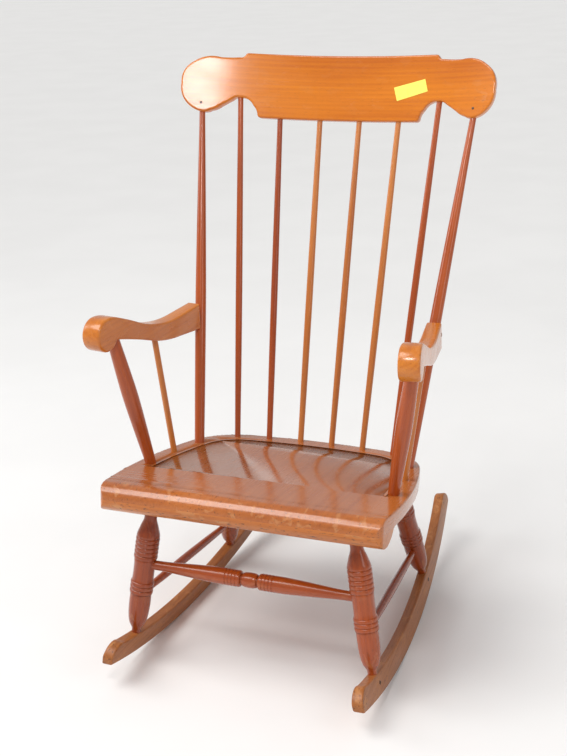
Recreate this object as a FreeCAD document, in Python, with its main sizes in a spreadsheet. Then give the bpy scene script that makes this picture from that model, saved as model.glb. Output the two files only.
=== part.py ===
import FreeCAD, Part
import math
import os

import Sketcher
from FreeCAD import Placement, Rotation, Vector

# Rocking chair in millimetres. Z is up and the floor is z = 0. The sitter faces -Y.
# X = 0 is the chair's plane of symmetry. Y = 0 is the middle of the rockers' length.
# Lengths called "back" are measured towards the back from the front feet.

SIZES = {
    # Rockers: two sawn boards on one rolling circle
    "rocker_length": 756,
    "toe_reach": 102,
    "roll_radius": 1092,
    "arc_centre_back": 257.5,
    "rest_roll": 1.62,
    "middle_back": 303.9,
    "rocker_height": 38,
    "rocker_thickness": 20,
    "rocker_lean": 11,
    "rocker_toe_in": 3.5,
    "front_foot_half_span": 228,
    "foot_spacing": 392,
    "toe_length": 44,
    "toe_drop": 14,
    "heel_length": 40,
    "heel_drop": 18,
    # Seat: a plank that slopes to the back, with a rolled strip glued under its front edge
    "seat_height": 376,
    "seat_slope": 10,
    "seat_front": 28,
    "seat_back": 400,
    "seat_half_width": 263,
    "seat_back_radius": 900,
    "seat_corner_radius": 115,
    "seat_side_radius": 900,
    "seat_corner_turn": 75,
    "plank_thickness": 27,
    "roll_edge_radius": 26,
    "roll_strip_depth": 62,
    # Legs: one turning, used four times
    "front_socket_side": 187,
    "front_socket_back": 48,
    "rear_socket_side": 167,
    "rear_socket_back": 342,
    "leg_foot_diameter": 17,
    "leg_ankle_height": 18,
    "leg_ankle_diameter": 30,
    "leg_calf_height": 46,
    "leg_calf_diameter": 38.5,
    "leg_band_height": 80,
    "leg_band_diameter": 43,
    "leg_band_pitch": 8,
    "leg_waist_height": 113,
    "leg_waist_diameter": 39,
    "leg_rings_height": 149,
    "leg_rings_pitch": 8.4,
    "leg_rings_diameter": 43.5,
    "ring_groove_depth": 1.8,
    "ring_groove_width": 3,
    "ring_step": 1.6,
    "leg_shoulder_rise": 21,
    "leg_shoulder_diameter": 34,
    "leg_neck_rise": 35,
    "leg_neck_diameter": 23,
    "leg_socket_depth": 22,
    # Stretchers
    "front_stretcher_height": 137,
    "stretcher_bite": 12,
    "front_stretcher_end": 17,
    "front_stretcher_belly": 30,
    "front_stretcher_bead": 27.5,
    "front_stretcher_neck": 19,
    "bead_flat": 10,
    "bead_reach": 14.3,
    "belly_start": 18,
    "belly_reach": 60,
    "side_stretcher_front_height": 76,
    "side_stretcher_rear_height": 60,
    "side_stretcher_end": 13,
    "side_stretcher_middle": 16.5,
    "rear_stretcher_height": 130,
    "rear_stretcher_end": 14,
    "rear_stretcher_middle": 18,
    # Crest rail: a sawn board bent to a shallow bow
    "crest_back": 570,
    "crest_height_over_floor": 906,
    "crest_lean": 20.5,
    "crest_bow_radius": 840,
    "crest_thickness": 19,
    "crest_board_height": 124,
    "crest_half_width": 311,
    "crest_top_half_length": 189,
    "crest_step_drop": 9,
    "lobe_top_height": 113,
    "lobe_bottom_height": 5,
    "scoop_outer_side": 214,
    "scoop_inner_side": 172,
    "scoop_height": 37,
    "crest_bottom_half_length": 158,
    # Back posts and spindles
    "post_foot_side": 212,
    "post_foot_back": 297,
    "post_head_side": 271,
    "post_foot_diameter": 19,
    "post_belly_diameter": 21.5,
    "post_head_diameter": 11.5,
    "spindle_foot_pitch": 64.5,
    "spindle_head_pitch": 80,
    "spindle_inset": 16,
    "spindle_foot_diameter": 11.5,
    "spindle_belly_diameter": 13.5,
    "spindle_head_diameter": 10.5,
    "seat_bite": 22,
    "crest_bite": 28,
    # Arms, arm posts and arm spindles
    "arm_scroll_side": 281.5,
    "arm_scroll_back": 75,
    "arm_scroll_height": 621,
    "arm_scroll_radius": 30,
    "arm_toe_out": 7.8,
    "arm_front_width": 37,
    "arm_rear_width": 29,
    "arm_rear_thickness": 50,
    "arm_dip": 39,
    "arm_cope": 6,
    "arm_cope_play": 0.4,
    "arm_post_side": 233,
    "arm_post_back": 128,
    "arm_post_head_along": 32,
    "arm_post_head_depth": 14,
    "arm_post_foot_diameter": 20,
    "arm_post_belly_diameter": 29,
    "arm_post_head_diameter": 22,
    "arm_post_bite": 20,
    "arm_spindle_side": 228,
    "arm_spindle_back": 216,
    "arm_spindle_head_along": 158,
    "arm_spindle_head_depth": 50,
    "arm_spindle_diameter": 11.5,
    # The straight stretch of a turning before each end's joint
    "plain_end": 7,
    # How much the long tapers of the slender turnings swell
    "spindle_bulge": 0.4,
    "post_bulge": 0.8,
    # Free play of a round end in its bore, on the radius
    "fit_play": 0.1,
}

doc = FreeCAD.newDocument("rocking_chair")
sheet = doc.addObject("Spreadsheet::Sheet", "Sizes")
for row, (alias, number) in enumerate(SIZES.items(), start=1):
    sheet.set(f"A{row}", alias)
    sheet.set(f"B{row}", str(number))
    sheet.setAlias(f"B{row}", alias)
doc.recompute()


def value(size):
    """A size as a number: a plain number, or an expression on the sheet."""
    return float(sheet.evalExpression(size)) if isinstance(size, str) else float(size)


def cell(alias):
    return value("Sizes." + alias)


def sine(degrees):
    return math.sin(math.radians(degrees))


def cosine(degrees):
    return math.cos(math.radians(degrees))


# Points of the chair

# The chair is laid out with the rockers' arc centre at arc_centre_back. At rest it has rolled
# forward about that centre, until its mass centre hangs under it.
FOOT_Y = -cell("middle_back")
SOCKET_SPARE = 0.5
SOCKET_CLEARANCE = 12
COPE_SPARE = 15
ARC_CENTRE = Vector(0, FOOT_Y + cell("arc_centre_back"), cell("roll_radius"))
AT_REST = Placement(Vector(0, 0, 0), Rotation(Vector(1, 0, 0), cell("rest_roll")), ARC_CENTRE)


def laid(side, back, height, axis=Vector(1, 0, 0), turn=0):
    """A place in the layout, carried along to where the chair comes to rest."""
    return AT_REST.multiply(Placement(Vector(side, FOOT_Y + back, height), Rotation(axis, turn)))


SEAT_PLACE = laid(0, 0, cell("seat_height"), turn=-cell("seat_slope"))
CREST_PLACE = laid(0, cell("crest_back"), cell("crest_height_over_floor"), turn=-cell("crest_lean"))
ARM_PLACE = laid(
    cell("arm_scroll_side"),
    cell("arm_scroll_back"),
    cell("arm_scroll_height"),
    axis=Vector(0, 0, 1),
    turn=cell("arm_toe_out"),
)


def on_seat(side, back, depth=0):
    """A point of the seat's top, or a point that deep under it."""
    return SEAT_PLACE.multVec(Vector(side, back, -depth))


def crest_centre(side, height):
    """The middle of the crest rail's thickness, that far out and up the board."""
    middle_radius = cell("crest_bow_radius") + cell("crest_thickness") / 2
    bow = math.sqrt(middle_radius ** 2 - side ** 2) - cell("crest_bow_radius")
    return CREST_PLACE.multVec(Vector(side, bow, height))


def rocker_top(back):
    """Height of the rockers' upper edge above the floor."""
    inner_radius = cell("roll_radius") - cell("rocker_height")
    return cell("roll_radius") - math.sqrt(inner_radius ** 2 - (back - cell("arc_centre_back")) ** 2)


def rocker_side(back, height):
    """How far out the middle of the rocker's board is."""
    lean = math.tan(math.radians(cell("rocker_lean")))
    toe_in = math.tan(math.radians(cell("rocker_toe_in")))
    return cell("front_foot_half_span") - toe_in * back - lean * (height - rocker_top(0))


def foot(back):
    height = rocker_top(back)
    return laid(rocker_side(back, height), back, height).Base


def between(start, end, distance):
    """The point that distance from start on the way to end."""
    return start + (end - start).normalize() * distance


def seat_edge(side, inset):
    """How far back the seat's rear edge is at that side, less the inset."""
    rear_centre = cell("seat_back") - cell("seat_back_radius")
    corner_side, corner_back = CORNER_CENTRE
    rear_end = (cell("seat_back_radius") - inset) * sine(REAR_TURN)
    if side <= rear_end:
        return rear_centre + math.sqrt((cell("seat_back_radius") - inset) ** 2 - side ** 2)
    return corner_back + math.sqrt((cell("seat_corner_radius") - inset) ** 2 - (side - corner_side) ** 2)


# The seat's outline is three arcs that run into each other: back, corner and side.
# The back arc's share of the turn follows from the seat's width.
BACK_TO_CORNER = cell("seat_back_radius") - cell("seat_corner_radius")
CORNER_TO_SIDE = cell("seat_corner_radius") - cell("seat_side_radius")
CORNER_REACH = CORNER_TO_SIDE * sine(cell("seat_corner_turn")) + cell("seat_side_radius")
REAR_TURN = math.degrees(math.asin((cell("seat_half_width") - CORNER_REACH) / BACK_TO_CORNER))
CORNER_CENTRE = (
    BACK_TO_CORNER * sine(REAR_TURN),
    cell("seat_back") - cell("seat_back_radius") + BACK_TO_CORNER * cosine(REAR_TURN),
)
SIDE_CENTRE = (
    CORNER_CENTRE[0] + CORNER_TO_SIDE * sine(cell("seat_corner_turn")),
    CORNER_CENTRE[1] + CORNER_TO_SIDE * cosine(cell("seat_corner_turn")),
)


def on_circle(centre, radius, turn):
    """A point of a circle on the seat, turned that far from straight back."""
    return centre[0] + radius * sine(turn), centre[1] + radius * cosine(turn)


# Ways to draw and build


def line(across, up):
    return ("line", None, (across, up))


def arc(middle, end):
    return ("arc", middle, end)


def backwards(steps):
    """The way back from the last of these steps to the end of the first."""
    return [(kind, middle, before[2]) for before, (kind, middle, end) in zip(steps[-2::-1], steps[:0:-1])]


def flipped(point, along="across"):
    """A point on the other side of an axis. A size that is an expression gets a minus sign."""
    if point is None:
        return None
    across, up = point
    if along == "across":
        return opposite(across), up
    return across, opposite(up)


def opposite(size):
    if isinstance(size, str):
        return f"-({size})"
    return -size


def way_back(start, steps):
    """The way back to the start of an outline's first half, as its mirror image."""
    return [(kind, flipped(middle), flipped(end)) for kind, middle, end in backwards([line(*start)] + steps)]


def place_vertex(sketch, edge, position, corner):
    """Pins a vertex to its two sizes, on an axis where a size is nothing."""
    for axis, kind, size in ((-2, "DistanceX", corner[0]), (-1, "DistanceY", corner[1])):
        if abs(value(size)) < 1e-9:
            sketch.addConstraint(Sketcher.Constraint("PointOnObject", edge, position, axis))
            continue
        index = sketch.addConstraint(Sketcher.Constraint(kind, -1, 1, edge, position, value(size)))
        if isinstance(size, str):
            sketch.setExpression(f"Constraints[{index}]", size)


def draw(sketch, start, steps):
    """A closed outline of straight and round edges. Each coordinate is a number or an expression."""
    here = Vector(value(start[0]), value(start[1]), 0)
    corner = start
    ends = []
    for kind, middle, end in steps:
        there = Vector(value(end[0]), value(end[1]), 0)
        if kind == "line":
            edge = sketch.addGeometry(Part.LineSegment(here, there), False)
            at_start = 1
        else:
            on_arc = Vector(value(middle[0]), value(middle[1]), 0)
            edge = sketch.addGeometry(Part.Arc(here, on_arc, there), False)
            at_start = 1 if sketch.getPoint(edge, 1).distanceToPoint(here) < 1e-6 else 2
            sketch.addConstraint(Sketcher.Constraint("Radius", edge, sketch.Geometry[edge].Radius))
        place_vertex(sketch, edge, at_start, corner)
        ends.append((edge, at_start))
        here, corner = there, end
    for index, (edge, at_start) in enumerate(ends):
        following, its_start = ends[(index + 1) % len(ends)]
        sketch.addConstraint(Sketcher.Constraint("Coincident", edge, 3 - at_start, following, its_start))


def new_body(name):
    return doc.addObject("PartDesign::Body", name)


def new_sketch(body, name, plane_role):
    sketch = body.newObject("Sketcher::SketchObject", name)
    plane = next(item for item in body.Origin.OriginFeatures if item.Role == plane_role)
    sketch.AttachmentSupport = [(plane, "")]
    sketch.MapMode = "FlatFace"
    return sketch


def pad(body, sketch, length, symmetric=False, reverse=False):
    feature = body.newObject("PartDesign::Pad", sketch.Name + "_pad")
    feature.Profile = sketch
    feature.Length = value(length)
    if isinstance(length, str):
        feature.setExpression("Length", length)
    feature.SideType = "Symmetric" if symmetric else "One side"
    feature.Reversed = reverse
    sketch.Visibility = False
    return feature


def pocket(body, sketch, length, symmetric=False, reverse=False):
    feature = body.newObject("PartDesign::Pocket", sketch.Name + "_pocket")
    feature.Profile = sketch
    feature.Length = value(length)
    if isinstance(length, str):
        feature.setExpression("Length", length)
    feature.SideType = "Symmetric" if symmetric else "One side"
    feature.Reversed = reverse
    sketch.Visibility = False
    return feature


def along(start, end):
    """A place whose Z runs from start to end."""
    return Placement(start, Rotation(Vector(0, 0, 1), end - start))


# Keeps the seam of a turned face out of the way of the bores that cross it
SEAM_TURN = Placement(Vector(0, 0, 0), Rotation(Vector(0, 0, 1), 40))


def turning(name, start, end, profile):
    """A piece turned on the lathe: its profile is drawn as radius and height, from the foot's centre."""
    body = new_body(name)
    sketch = new_sketch(body, name + "_profile", "XZ_Plane")
    foot_level = profile[0][1]
    head_level = profile[-1][2][1]
    steps = [line(*profile[0])] + profile[1:] + [line(0, head_level), line(0, foot_level)]
    draw(sketch, (0, foot_level), steps)
    feature = body.newObject("PartDesign::Revolution", name + "_turned")
    feature.Profile = sketch
    feature.ReferenceAxis = (sketch, ["V_Axis"])
    feature.Angle = 360
    sketch.Visibility = False
    body.Placement = along(start, end).multiply(SEAM_TURN)
    return body


def bore(name, start, end, diameter, play="Sizes.fit_play"):
    """The cylinder that a drill takes out, a little wider than what goes in."""
    tool = doc.addObject("Part::Cylinder", name)
    tool.setExpression("Radius", f"({diameter}) / 2 + {play}")
    tool.Height = (end - start).Length
    tool.Placement = along(start, end)
    return tool


def cut(name, base, tools):
    """The base less its bores and what it is fitted round."""
    piece = base
    for number, tool in enumerate(tools, start=1):
        step = doc.addObject("Part::Cut", f"{name}_cut_{number}")
        step.Base = piece
        step.Tool = tool
        piece = step
    return piece


def mirrored(name, source):
    """The left-hand twin of a right-hand piece."""
    twin = doc.addObject("Part::Mirroring", name)
    twin.Source = source
    twin.Normal = Vector(1, 0, 0)
    return twin


pieces = {}


def keep(label, piece):
    piece.Label = label
    pieces[label] = piece


def keep_pair(label, right_piece):
    keep(label + "_right", right_piece)
    keep(label + "_left", mirrored(label + "_left", right_piece))


# Axes of the turned pieces, on the right-hand side

PLANK = cell("plank_thickness")
front_foot = foot(0)
rear_foot = foot(cell("foot_spacing"))
front_socket = on_seat(cell("front_socket_side"), cell("front_socket_back"), PLANK)
rear_socket = on_seat(cell("rear_socket_side"), cell("rear_socket_back"), PLANK)
post_foot = on_seat(cell("post_foot_side"), cell("post_foot_back"))
post_head = crest_centre(cell("post_head_side"), cell("lobe_bottom_height"))
arm_post_foot = on_seat(cell("arm_post_side"), cell("arm_post_back"))
arm_spindle_foot = on_seat(cell("arm_spindle_side"), cell("arm_spindle_back"))


def arm_end(height):
    """How far along the arm its rear end is at that height, coped onto the leaning post."""
    low = ARM_PLACE.inverse().multVec(post_foot)
    high = ARM_PLACE.inverse().multVec(post_head)
    reach = (height - low.z) / (high.z - low.z)
    return low.y + (high.y - low.y) * reach - cell("post_belly_diameter") / 2 + cell("arm_cope")


# Rockers


def build_rocker():
    """A board sawn to the rolling circle, leaning with the legs, with a rounded toe and heel."""
    radius = cell("roll_radius")
    spare = 4
    outer = radius + spare
    inner = radius - cell("rocker_height")
    front = -cell("arc_centre_back") - cell("toe_reach")
    rear = front + cell("rocker_length")

    def lower(position):
        return radius - math.sqrt(outer ** 2 - position ** 2)

    def upper(position):
        return radius - math.sqrt(inner ** 2 - position ** 2)

    toe_start = front + cell("toe_length")
    heel_start = rear - cell("heel_length")
    toe_height = (radius - math.sqrt(radius ** 2 - front ** 2)) + cell("toe_drop")
    heel_height = (radius - math.sqrt(radius ** 2 - rear ** 2)) + cell("heel_drop") / 2
    toe_middle = (front + cell("toe_length") / 5, (toe_height + upper(toe_start)) / 2 + 5)
    heel_middle = (rear - cell("heel_length") / 4, (heel_height + upper(heel_start)) / 2 + 4)
    body = new_body("rocker_blank")
    sketch = new_sketch(body, "rocker_outline", "YZ_Plane")
    draw(
        sketch,
        (toe_start, upper(toe_start)),
        [
            arc(toe_middle, (front, toe_height)),
            line(front, lower(front)),
            arc((0, lower(0)), (rear, lower(rear))),
            line(rear, heel_height),
            arc(heel_middle, (heel_start, upper(heel_start))),
            arc((0, upper(0)), (toe_start, upper(toe_start))),
        ],
    )
    board = pad(body, sketch, "Sizes.rocker_thickness", symmetric=True)
    body.Placement = ROCKER_PLACE
    return body


def rolling_drum():
    """The cylinder on which both rockers' undersides lie, so that they sit flat on the floor."""
    drum = doc.addObject("Part::Cylinder", "rolling_drum")
    drum.setExpression("Radius", "Sizes.roll_radius")
    drum.setExpression("Height", "3 * Sizes.front_foot_half_span")
    side = Vector(-1.5 * cell("front_foot_half_span"), 0, 0)
    drum.Placement = Placement(ARC_CENTRE + side, Rotation(Vector(0, 1, 0), 90))
    return drum


# Legs


def leg_profile(length):
    """Foot, swelling calf, a band of three rings, waist, five rings, shoulder and neck."""
    calf = "Sizes.leg_calf_diameter / 2"
    waist = "Sizes.leg_waist_diameter / 2"
    rings_end = "Sizes.leg_rings_height + 5 * Sizes.leg_rings_pitch"
    profile = [
        ("Sizes.leg_foot_diameter / 2", -5),
        line("Sizes.leg_foot_diameter / 2", 5),
        line("Sizes.leg_ankle_diameter / 2", "Sizes.leg_ankle_height"),
        line(calf, "Sizes.leg_calf_height"),
        line(calf, "Sizes.leg_band_height - Sizes.ring_step"),
    ]
    profile += rings("leg_band_height", "leg_band_pitch", "leg_band_diameter", 3)
    profile += [
        line(waist, "Sizes.leg_band_height + 3 * Sizes.leg_band_pitch + Sizes.ring_step"),
        line(waist, "Sizes.leg_rings_height - Sizes.ring_step"),
    ]
    profile += rings("leg_rings_height", "leg_rings_pitch", "leg_rings_diameter", 5)
    profile += [
        line("Sizes.leg_shoulder_diameter / 2", rings_end + " + Sizes.leg_shoulder_rise"),
        line("Sizes.leg_neck_diameter / 2", rings_end + " + Sizes.leg_neck_rise"),
        line("Sizes.leg_neck_diameter / 2", length + cell("leg_socket_depth")),
    ]
    return profile


def rings(start, pitch, diameter, count):
    """Rings one after another, with a sharp groove between two of them."""
    rim = f"Sizes.{diameter} / 2"
    steps = [line(rim, "Sizes." + start)]
    for number in range(1, count):
        groove = f"Sizes.{start} + {number} * Sizes.{pitch}"
        steps.append(line(rim, groove + " - Sizes.ring_groove_width / 2"))
        steps.append(line(rim + " - Sizes.ring_groove_depth", groove))
        steps.append(line(rim, groove + " + Sizes.ring_groove_width / 2"))
    steps.append(line(rim, f"Sizes.{start} + {count} * Sizes.{pitch}"))
    return steps


def tenoned(length, sizes, belly_share, bulge, bites):
    """A spindle of two long tapers, with plain round ends that run on into what carries them."""
    foot, belly, head = [f"Sizes.{size} / 2" for size in sizes]
    plain = cell("plain_end")
    belly_level = length * belly_share
    return [
        (foot, -bites[0]),
        line(foot, plain),
        taper((foot, plain), (belly, belly_level), bulge),
        taper((belly, belly_level), (head, length - plain), bulge),
        line(head, length + bites[1]),
    ]


def taper(start, end, bulge):
    """A straight taper, or one that swells by the bulge."""
    if bulge == 0:
        return line(*end)
    middle = (value(start[0]) + value(end[0])) / 2 + bulge
    return arc((middle, (value(start[1]) + value(end[1])) / 2), end)


def other_side(point):
    return Vector(-point.x, point.y, point.z)


# Rockers and the legs' axes

ROCKER_REST_SIDE = rocker_side(cell("arc_centre_back"), 0)
ROCKER_PLACE = laid(
    ROCKER_REST_SIDE, cell("arc_centre_back"), 0, axis=Vector(0, 0, 1), turn=cell("rocker_toe_in")
).multiply(Placement(Vector(0, 0, 0), Rotation(Vector(0, 1, 0), -cell("rocker_lean"))))

rocker_blank = build_rocker()
rocker_board = doc.addObject("Part::Common", "rocker_board")
rocker_board.Base = rocker_blank
rocker_board.Tool = rolling_drum()
leg_axes = {"front": (front_foot, front_socket), "rear": (rear_foot, rear_socket)}
rocker = rocker_board
keep_pair("rocker", rocker)

# Stretchers: their ends are coped to the legs they run into

front_level = between(front_foot, front_socket, cell("front_stretcher_height"))
rear_level = between(rear_foot, rear_socket, cell("rear_stretcher_height"))
side_front = between(front_foot, front_socket, cell("side_stretcher_front_height"))
side_rear = between(rear_foot, rear_socket, cell("side_stretcher_rear_height"))
LEG_RADIUS = cell("leg_waist_diameter") / 2
STRETCHER_BITE = cell("stretcher_bite")
BULGE = cell("spindle_bulge")


def plain_stretcher(name, start_axis, end_axis, end_size, middle_size):
    """A stretcher that swells to its middle, between two legs' axes."""
    start = between(start_axis, end_axis, LEG_RADIUS)
    end = between(end_axis, start_axis, LEG_RADIUS)
    sizes = (end_size, middle_size, end_size)
    return turning(name, start, end, tenoned((end - start).Length, sizes, 0.5, BULGE, (STRETCHER_BITE, STRETCHER_BITE)))


def front_stretcher_profile(half):
    """A bead in the middle between two bellies that taper to the ends."""
    taper_end = half - STRETCHER_BITE - cell("plain_end")
    right = [
        line("Sizes.front_stretcher_bead / 2", "Sizes.bead_flat / 2"),
        line("Sizes.front_stretcher_neck / 2", "Sizes.bead_reach"),
        line("Sizes.front_stretcher_belly / 2", "Sizes.belly_start"),
        line("Sizes.front_stretcher_belly / 2", "Sizes.belly_reach"),
        line("Sizes.front_stretcher_end / 2", taper_end),
        line("Sizes.front_stretcher_end / 2", half),
    ]
    left = [(kind, flipped(middle, "up"), flipped(end, "up")) for kind, middle, end in backwards(right)]
    left_end = ("Sizes.front_stretcher_end / 2", -half)
    return [left_end] + left + right


half_front = front_level.x - LEG_RADIUS + STRETCHER_BITE
front_middle = Vector(0, front_level.y, front_level.z)
front_stretcher = turning(
    "front_stretcher_turning", front_middle, front_level, front_stretcher_profile(half_front)
)
rear_stretcher = plain_stretcher(
    "rear_stretcher_turning", other_side(rear_level), rear_level, "rear_stretcher_end", "rear_stretcher_middle"
)
side_stretcher = plain_stretcher(
    "side_stretcher_turning", side_front, side_rear, "side_stretcher_end", "side_stretcher_middle"
)

# Legs: coped to the rockers at the foot, tenoned into the seat

legs = {}
for name, (start, end) in leg_axes.items():
    turned = turning(f"{name}_leg_turning", start, end, leg_profile((end - start).Length))
    legs[name] = cut(f"{name}_leg", turned, [rocker])
    keep_pair(f"{name}_leg", legs[name])
left_legs = {name: pieces[f"{name}_leg_left"] for name in legs}
keep("front_stretcher", cut("front_stretcher", front_stretcher, [legs["front"], left_legs["front"]]))
keep("rear_stretcher", cut("rear_stretcher", rear_stretcher, [legs["rear"], left_legs["rear"]]))
keep_pair("side_stretcher", cut("side_stretcher", side_stretcher, [legs["front"], legs["rear"]]))

# Seat: a plank with a rolled front edge, and the strip that carries the roll on beneath it


def seat_half_outline():
    """Half of the seat's outline, from the middle of the back round the side to the front."""
    back_centre = (0, cell("seat_back") - cell("seat_back_radius"))
    corner_turn = cell("seat_corner_turn")
    front_reach = (SIDE_CENTRE[1] + cell("seat_front")) / cell("seat_side_radius")
    front_turn = 90 + math.degrees(math.asin(front_reach))
    arcs = (
        (back_centre, cell("seat_back_radius"), 0, REAR_TURN),
        (CORNER_CENTRE, cell("seat_corner_radius"), REAR_TURN, corner_turn),
        (SIDE_CENTRE, cell("seat_side_radius"), corner_turn, front_turn),
    )
    return [
        arc(on_circle(centre, radius, (low + high) / 2), on_circle(centre, radius, high))
        for centre, radius, low, high in arcs
    ]


def seat_blank(name, thickness):
    """The seat's outline, as thick as asked, downwards from its top."""
    body = new_body(name)
    outline = new_sketch(body, name + "_outline", "XY_Plane")
    start = (0, "Sizes.seat_back")
    right = seat_half_outline()
    front_corner = right[-1][2]
    front_edge = line(-front_corner[0], front_corner[1])
    draw(outline, start, right + [front_edge] + way_back(start, right))
    pad(body, outline, thickness, reverse=True)
    return body


def build_plank():
    """The plank with its rolled front edge."""
    body = seat_blank("plank", "Sizes.plank_thickness")
    front = -cell("seat_front")
    radius = cell("roll_edge_radius")
    centre = front + radius
    rolled = new_sketch(body, "front_edge", "YZ_Plane")
    draw(
        rolled,
        (centre, 1),
        [
            line(centre, 0),
            arc((centre - radius * cosine(45), -radius + radius * sine(45)), (front, -radius)),
            line(front - 2, -radius),
            line(front - 2, 1),
            line(centre, 1),
        ],
    )
    pocket(body, rolled, "3 * Sizes.seat_half_width", symmetric=True)
    body.Placement = SEAT_PLACE
    return body


def build_front_strip():
    """A long strip: round in front, sloping up to the plank behind."""
    body = new_body("front_strip")
    profile = new_sketch(body, "front_strip_profile", "YZ_Plane")
    front = -cell("seat_front")
    radius = cell("roll_edge_radius")
    centre = front + radius
    start = centre - math.sqrt(radius ** 2 - (PLANK - radius) ** 2)
    rear = front + cell("roll_strip_depth")
    draw(
        profile,
        (start, -PLANK),
        [
            arc((centre - radius * cosine(50), -radius - radius * sine(50)), (centre, -2 * radius)),
            line(centre + 6, -2 * radius),
            arc(((centre + rear) / 2 + 5, -1.5 * radius - PLANK / 4 + 2), (rear, -PLANK - 3)),
            line(rear, -PLANK),
            line(start, -PLANK),
        ],
    )
    pad(body, profile, "3 * Sizes.seat_half_width", symmetric=True)
    body.Placement = SEAT_PLACE
    return body


front_roll = doc.addObject("Part::Common", "front_roll")
front_roll.Base = build_front_strip()
front_roll.Tool = seat_blank("roll_block", "4 * Sizes.plank_thickness")
front_roll.Tool.Placement = SEAT_PLACE
keep("seat_front_roll", front_roll)

# Back posts, and the sockets for what is tenoned

SEAT_BITE = cell("seat_bite")
CREST_BITE = cell("crest_bite")
seat_sockets = []
crest_sockets = []


def both_sockets(name, mouth, beyond, depth, size, sockets):
    """A blind bore on each side, from its mouth away from the point beyond it."""
    for side, place in (("right", lambda point: point), ("left", other_side)):
        deep = between(place(mouth), place(beyond), -depth - SOCKET_SPARE)
        clear = between(place(mouth), place(beyond), SOCKET_CLEARANCE)
        sockets.append(bore(f"{name}_{side}_socket", deep, clear, size))


for name, (start, end) in leg_axes.items():
    both_sockets(f"{name}_leg", end, start, cell("leg_socket_depth"), "Sizes.leg_neck_diameter", seat_sockets)
both_sockets("post_foot", post_foot, post_head, SEAT_BITE, "Sizes.post_foot_diameter", seat_sockets)
both_sockets("post_head", post_head, post_foot, CREST_BITE, "Sizes.post_head_diameter", crest_sockets)
post_sizes = ("post_foot_diameter", "post_belly_diameter", "post_head_diameter")
post = turning(
    "back_post",
    post_foot,
    post_head,
    tenoned((post_head - post_foot).Length, post_sizes, 0.4, cell("post_bulge"), (SEAT_BITE, CREST_BITE)),
)
keep_pair("back_post", post)

# Crest rail


def crest_outline():
    """Half of the crest's outline, from the middle of the top round the lobe to the bottom edge."""
    top_side = cell("crest_top_half_length")
    step_low = cell("crest_board_height") - cell("crest_step_drop")
    lobe_top = cell("lobe_top_height")
    lobe_low = cell("lobe_bottom_height")
    lobe_middle = (lobe_top + lobe_low) / 2
    lobe_radius = (lobe_top - lobe_low) / 2
    tip = cell("crest_half_width")
    lobe_side = tip - lobe_radius
    scoop = cell("scoop_height")
    outer = cell("scoop_outer_side")
    inner = cell("scoop_inner_side")
    return [
        line("Sizes.crest_top_half_length", "Sizes.crest_board_height"),
        arc((top_side + 6, step_low + 2.8), (top_side + 16, step_low)),
        line(lobe_side - 17, lobe_top),
        arc((tip - 19, lobe_middle + 0.76 * lobe_radius), ("Sizes.crest_half_width", lobe_middle)),
        arc((tip - 13, lobe_middle - 0.74 * lobe_radius), (lobe_side + 10, lobe_low)),
        arc((lobe_side - 6, lobe_low + 5), (outer + 22, scoop / 2)),
        line("Sizes.scoop_outer_side", scoop - 4.5),
        arc(((outer + inner) / 2 + 3, scoop), ("Sizes.scoop_inner_side", 0.58 * scoop)),
        line("Sizes.crest_bottom_half_length", 0),
    ]


def build_crest():
    """A bent board, sawn to its outline with a lobe at each end and a scoop beside it."""
    body = new_body("crest_board")
    bow = new_sketch(body, "crest_bow", "XY_Plane")
    radius = cell("crest_bow_radius")
    thick = cell("crest_thickness")
    reach = cell("crest_half_width") + 12
    near = math.sqrt(radius ** 2 - reach ** 2) - radius
    far = math.sqrt((radius + thick) ** 2 - reach ** 2) - radius
    front_face = arc((0, 0), (reach, near))
    back_face = arc((0, thick), (-reach, far))
    draw(bow, (-reach, near), [front_face, line(reach, far), back_face, line(-reach, near)])
    pad(body, bow, "Sizes.crest_board_height")
    waste = new_sketch(body, "crest_waste", "XZ_Plane")
    start = (0, "Sizes.crest_board_height")
    right = crest_outline()
    bottom_edge = line("-Sizes.crest_bottom_half_length", 0)
    draw(waste, start, right + [bottom_edge] + way_back(start, right))
    edge = reach + 10
    above = cell("crest_board_height") + 10
    draw(waste, (-edge, -10), [line(edge, -10), line(edge, above), line(-edge, above), line(-edge, -10)])
    pocket(body, waste, "Sizes.crest_bow_radius", symmetric=True)
    body.Placement = CREST_PLACE
    return body


crest_rail = cut("crest_rail", build_crest(), crest_sockets)
keep("crest_rail", crest_rail)

# Arms, arm posts and arm spindles


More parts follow.
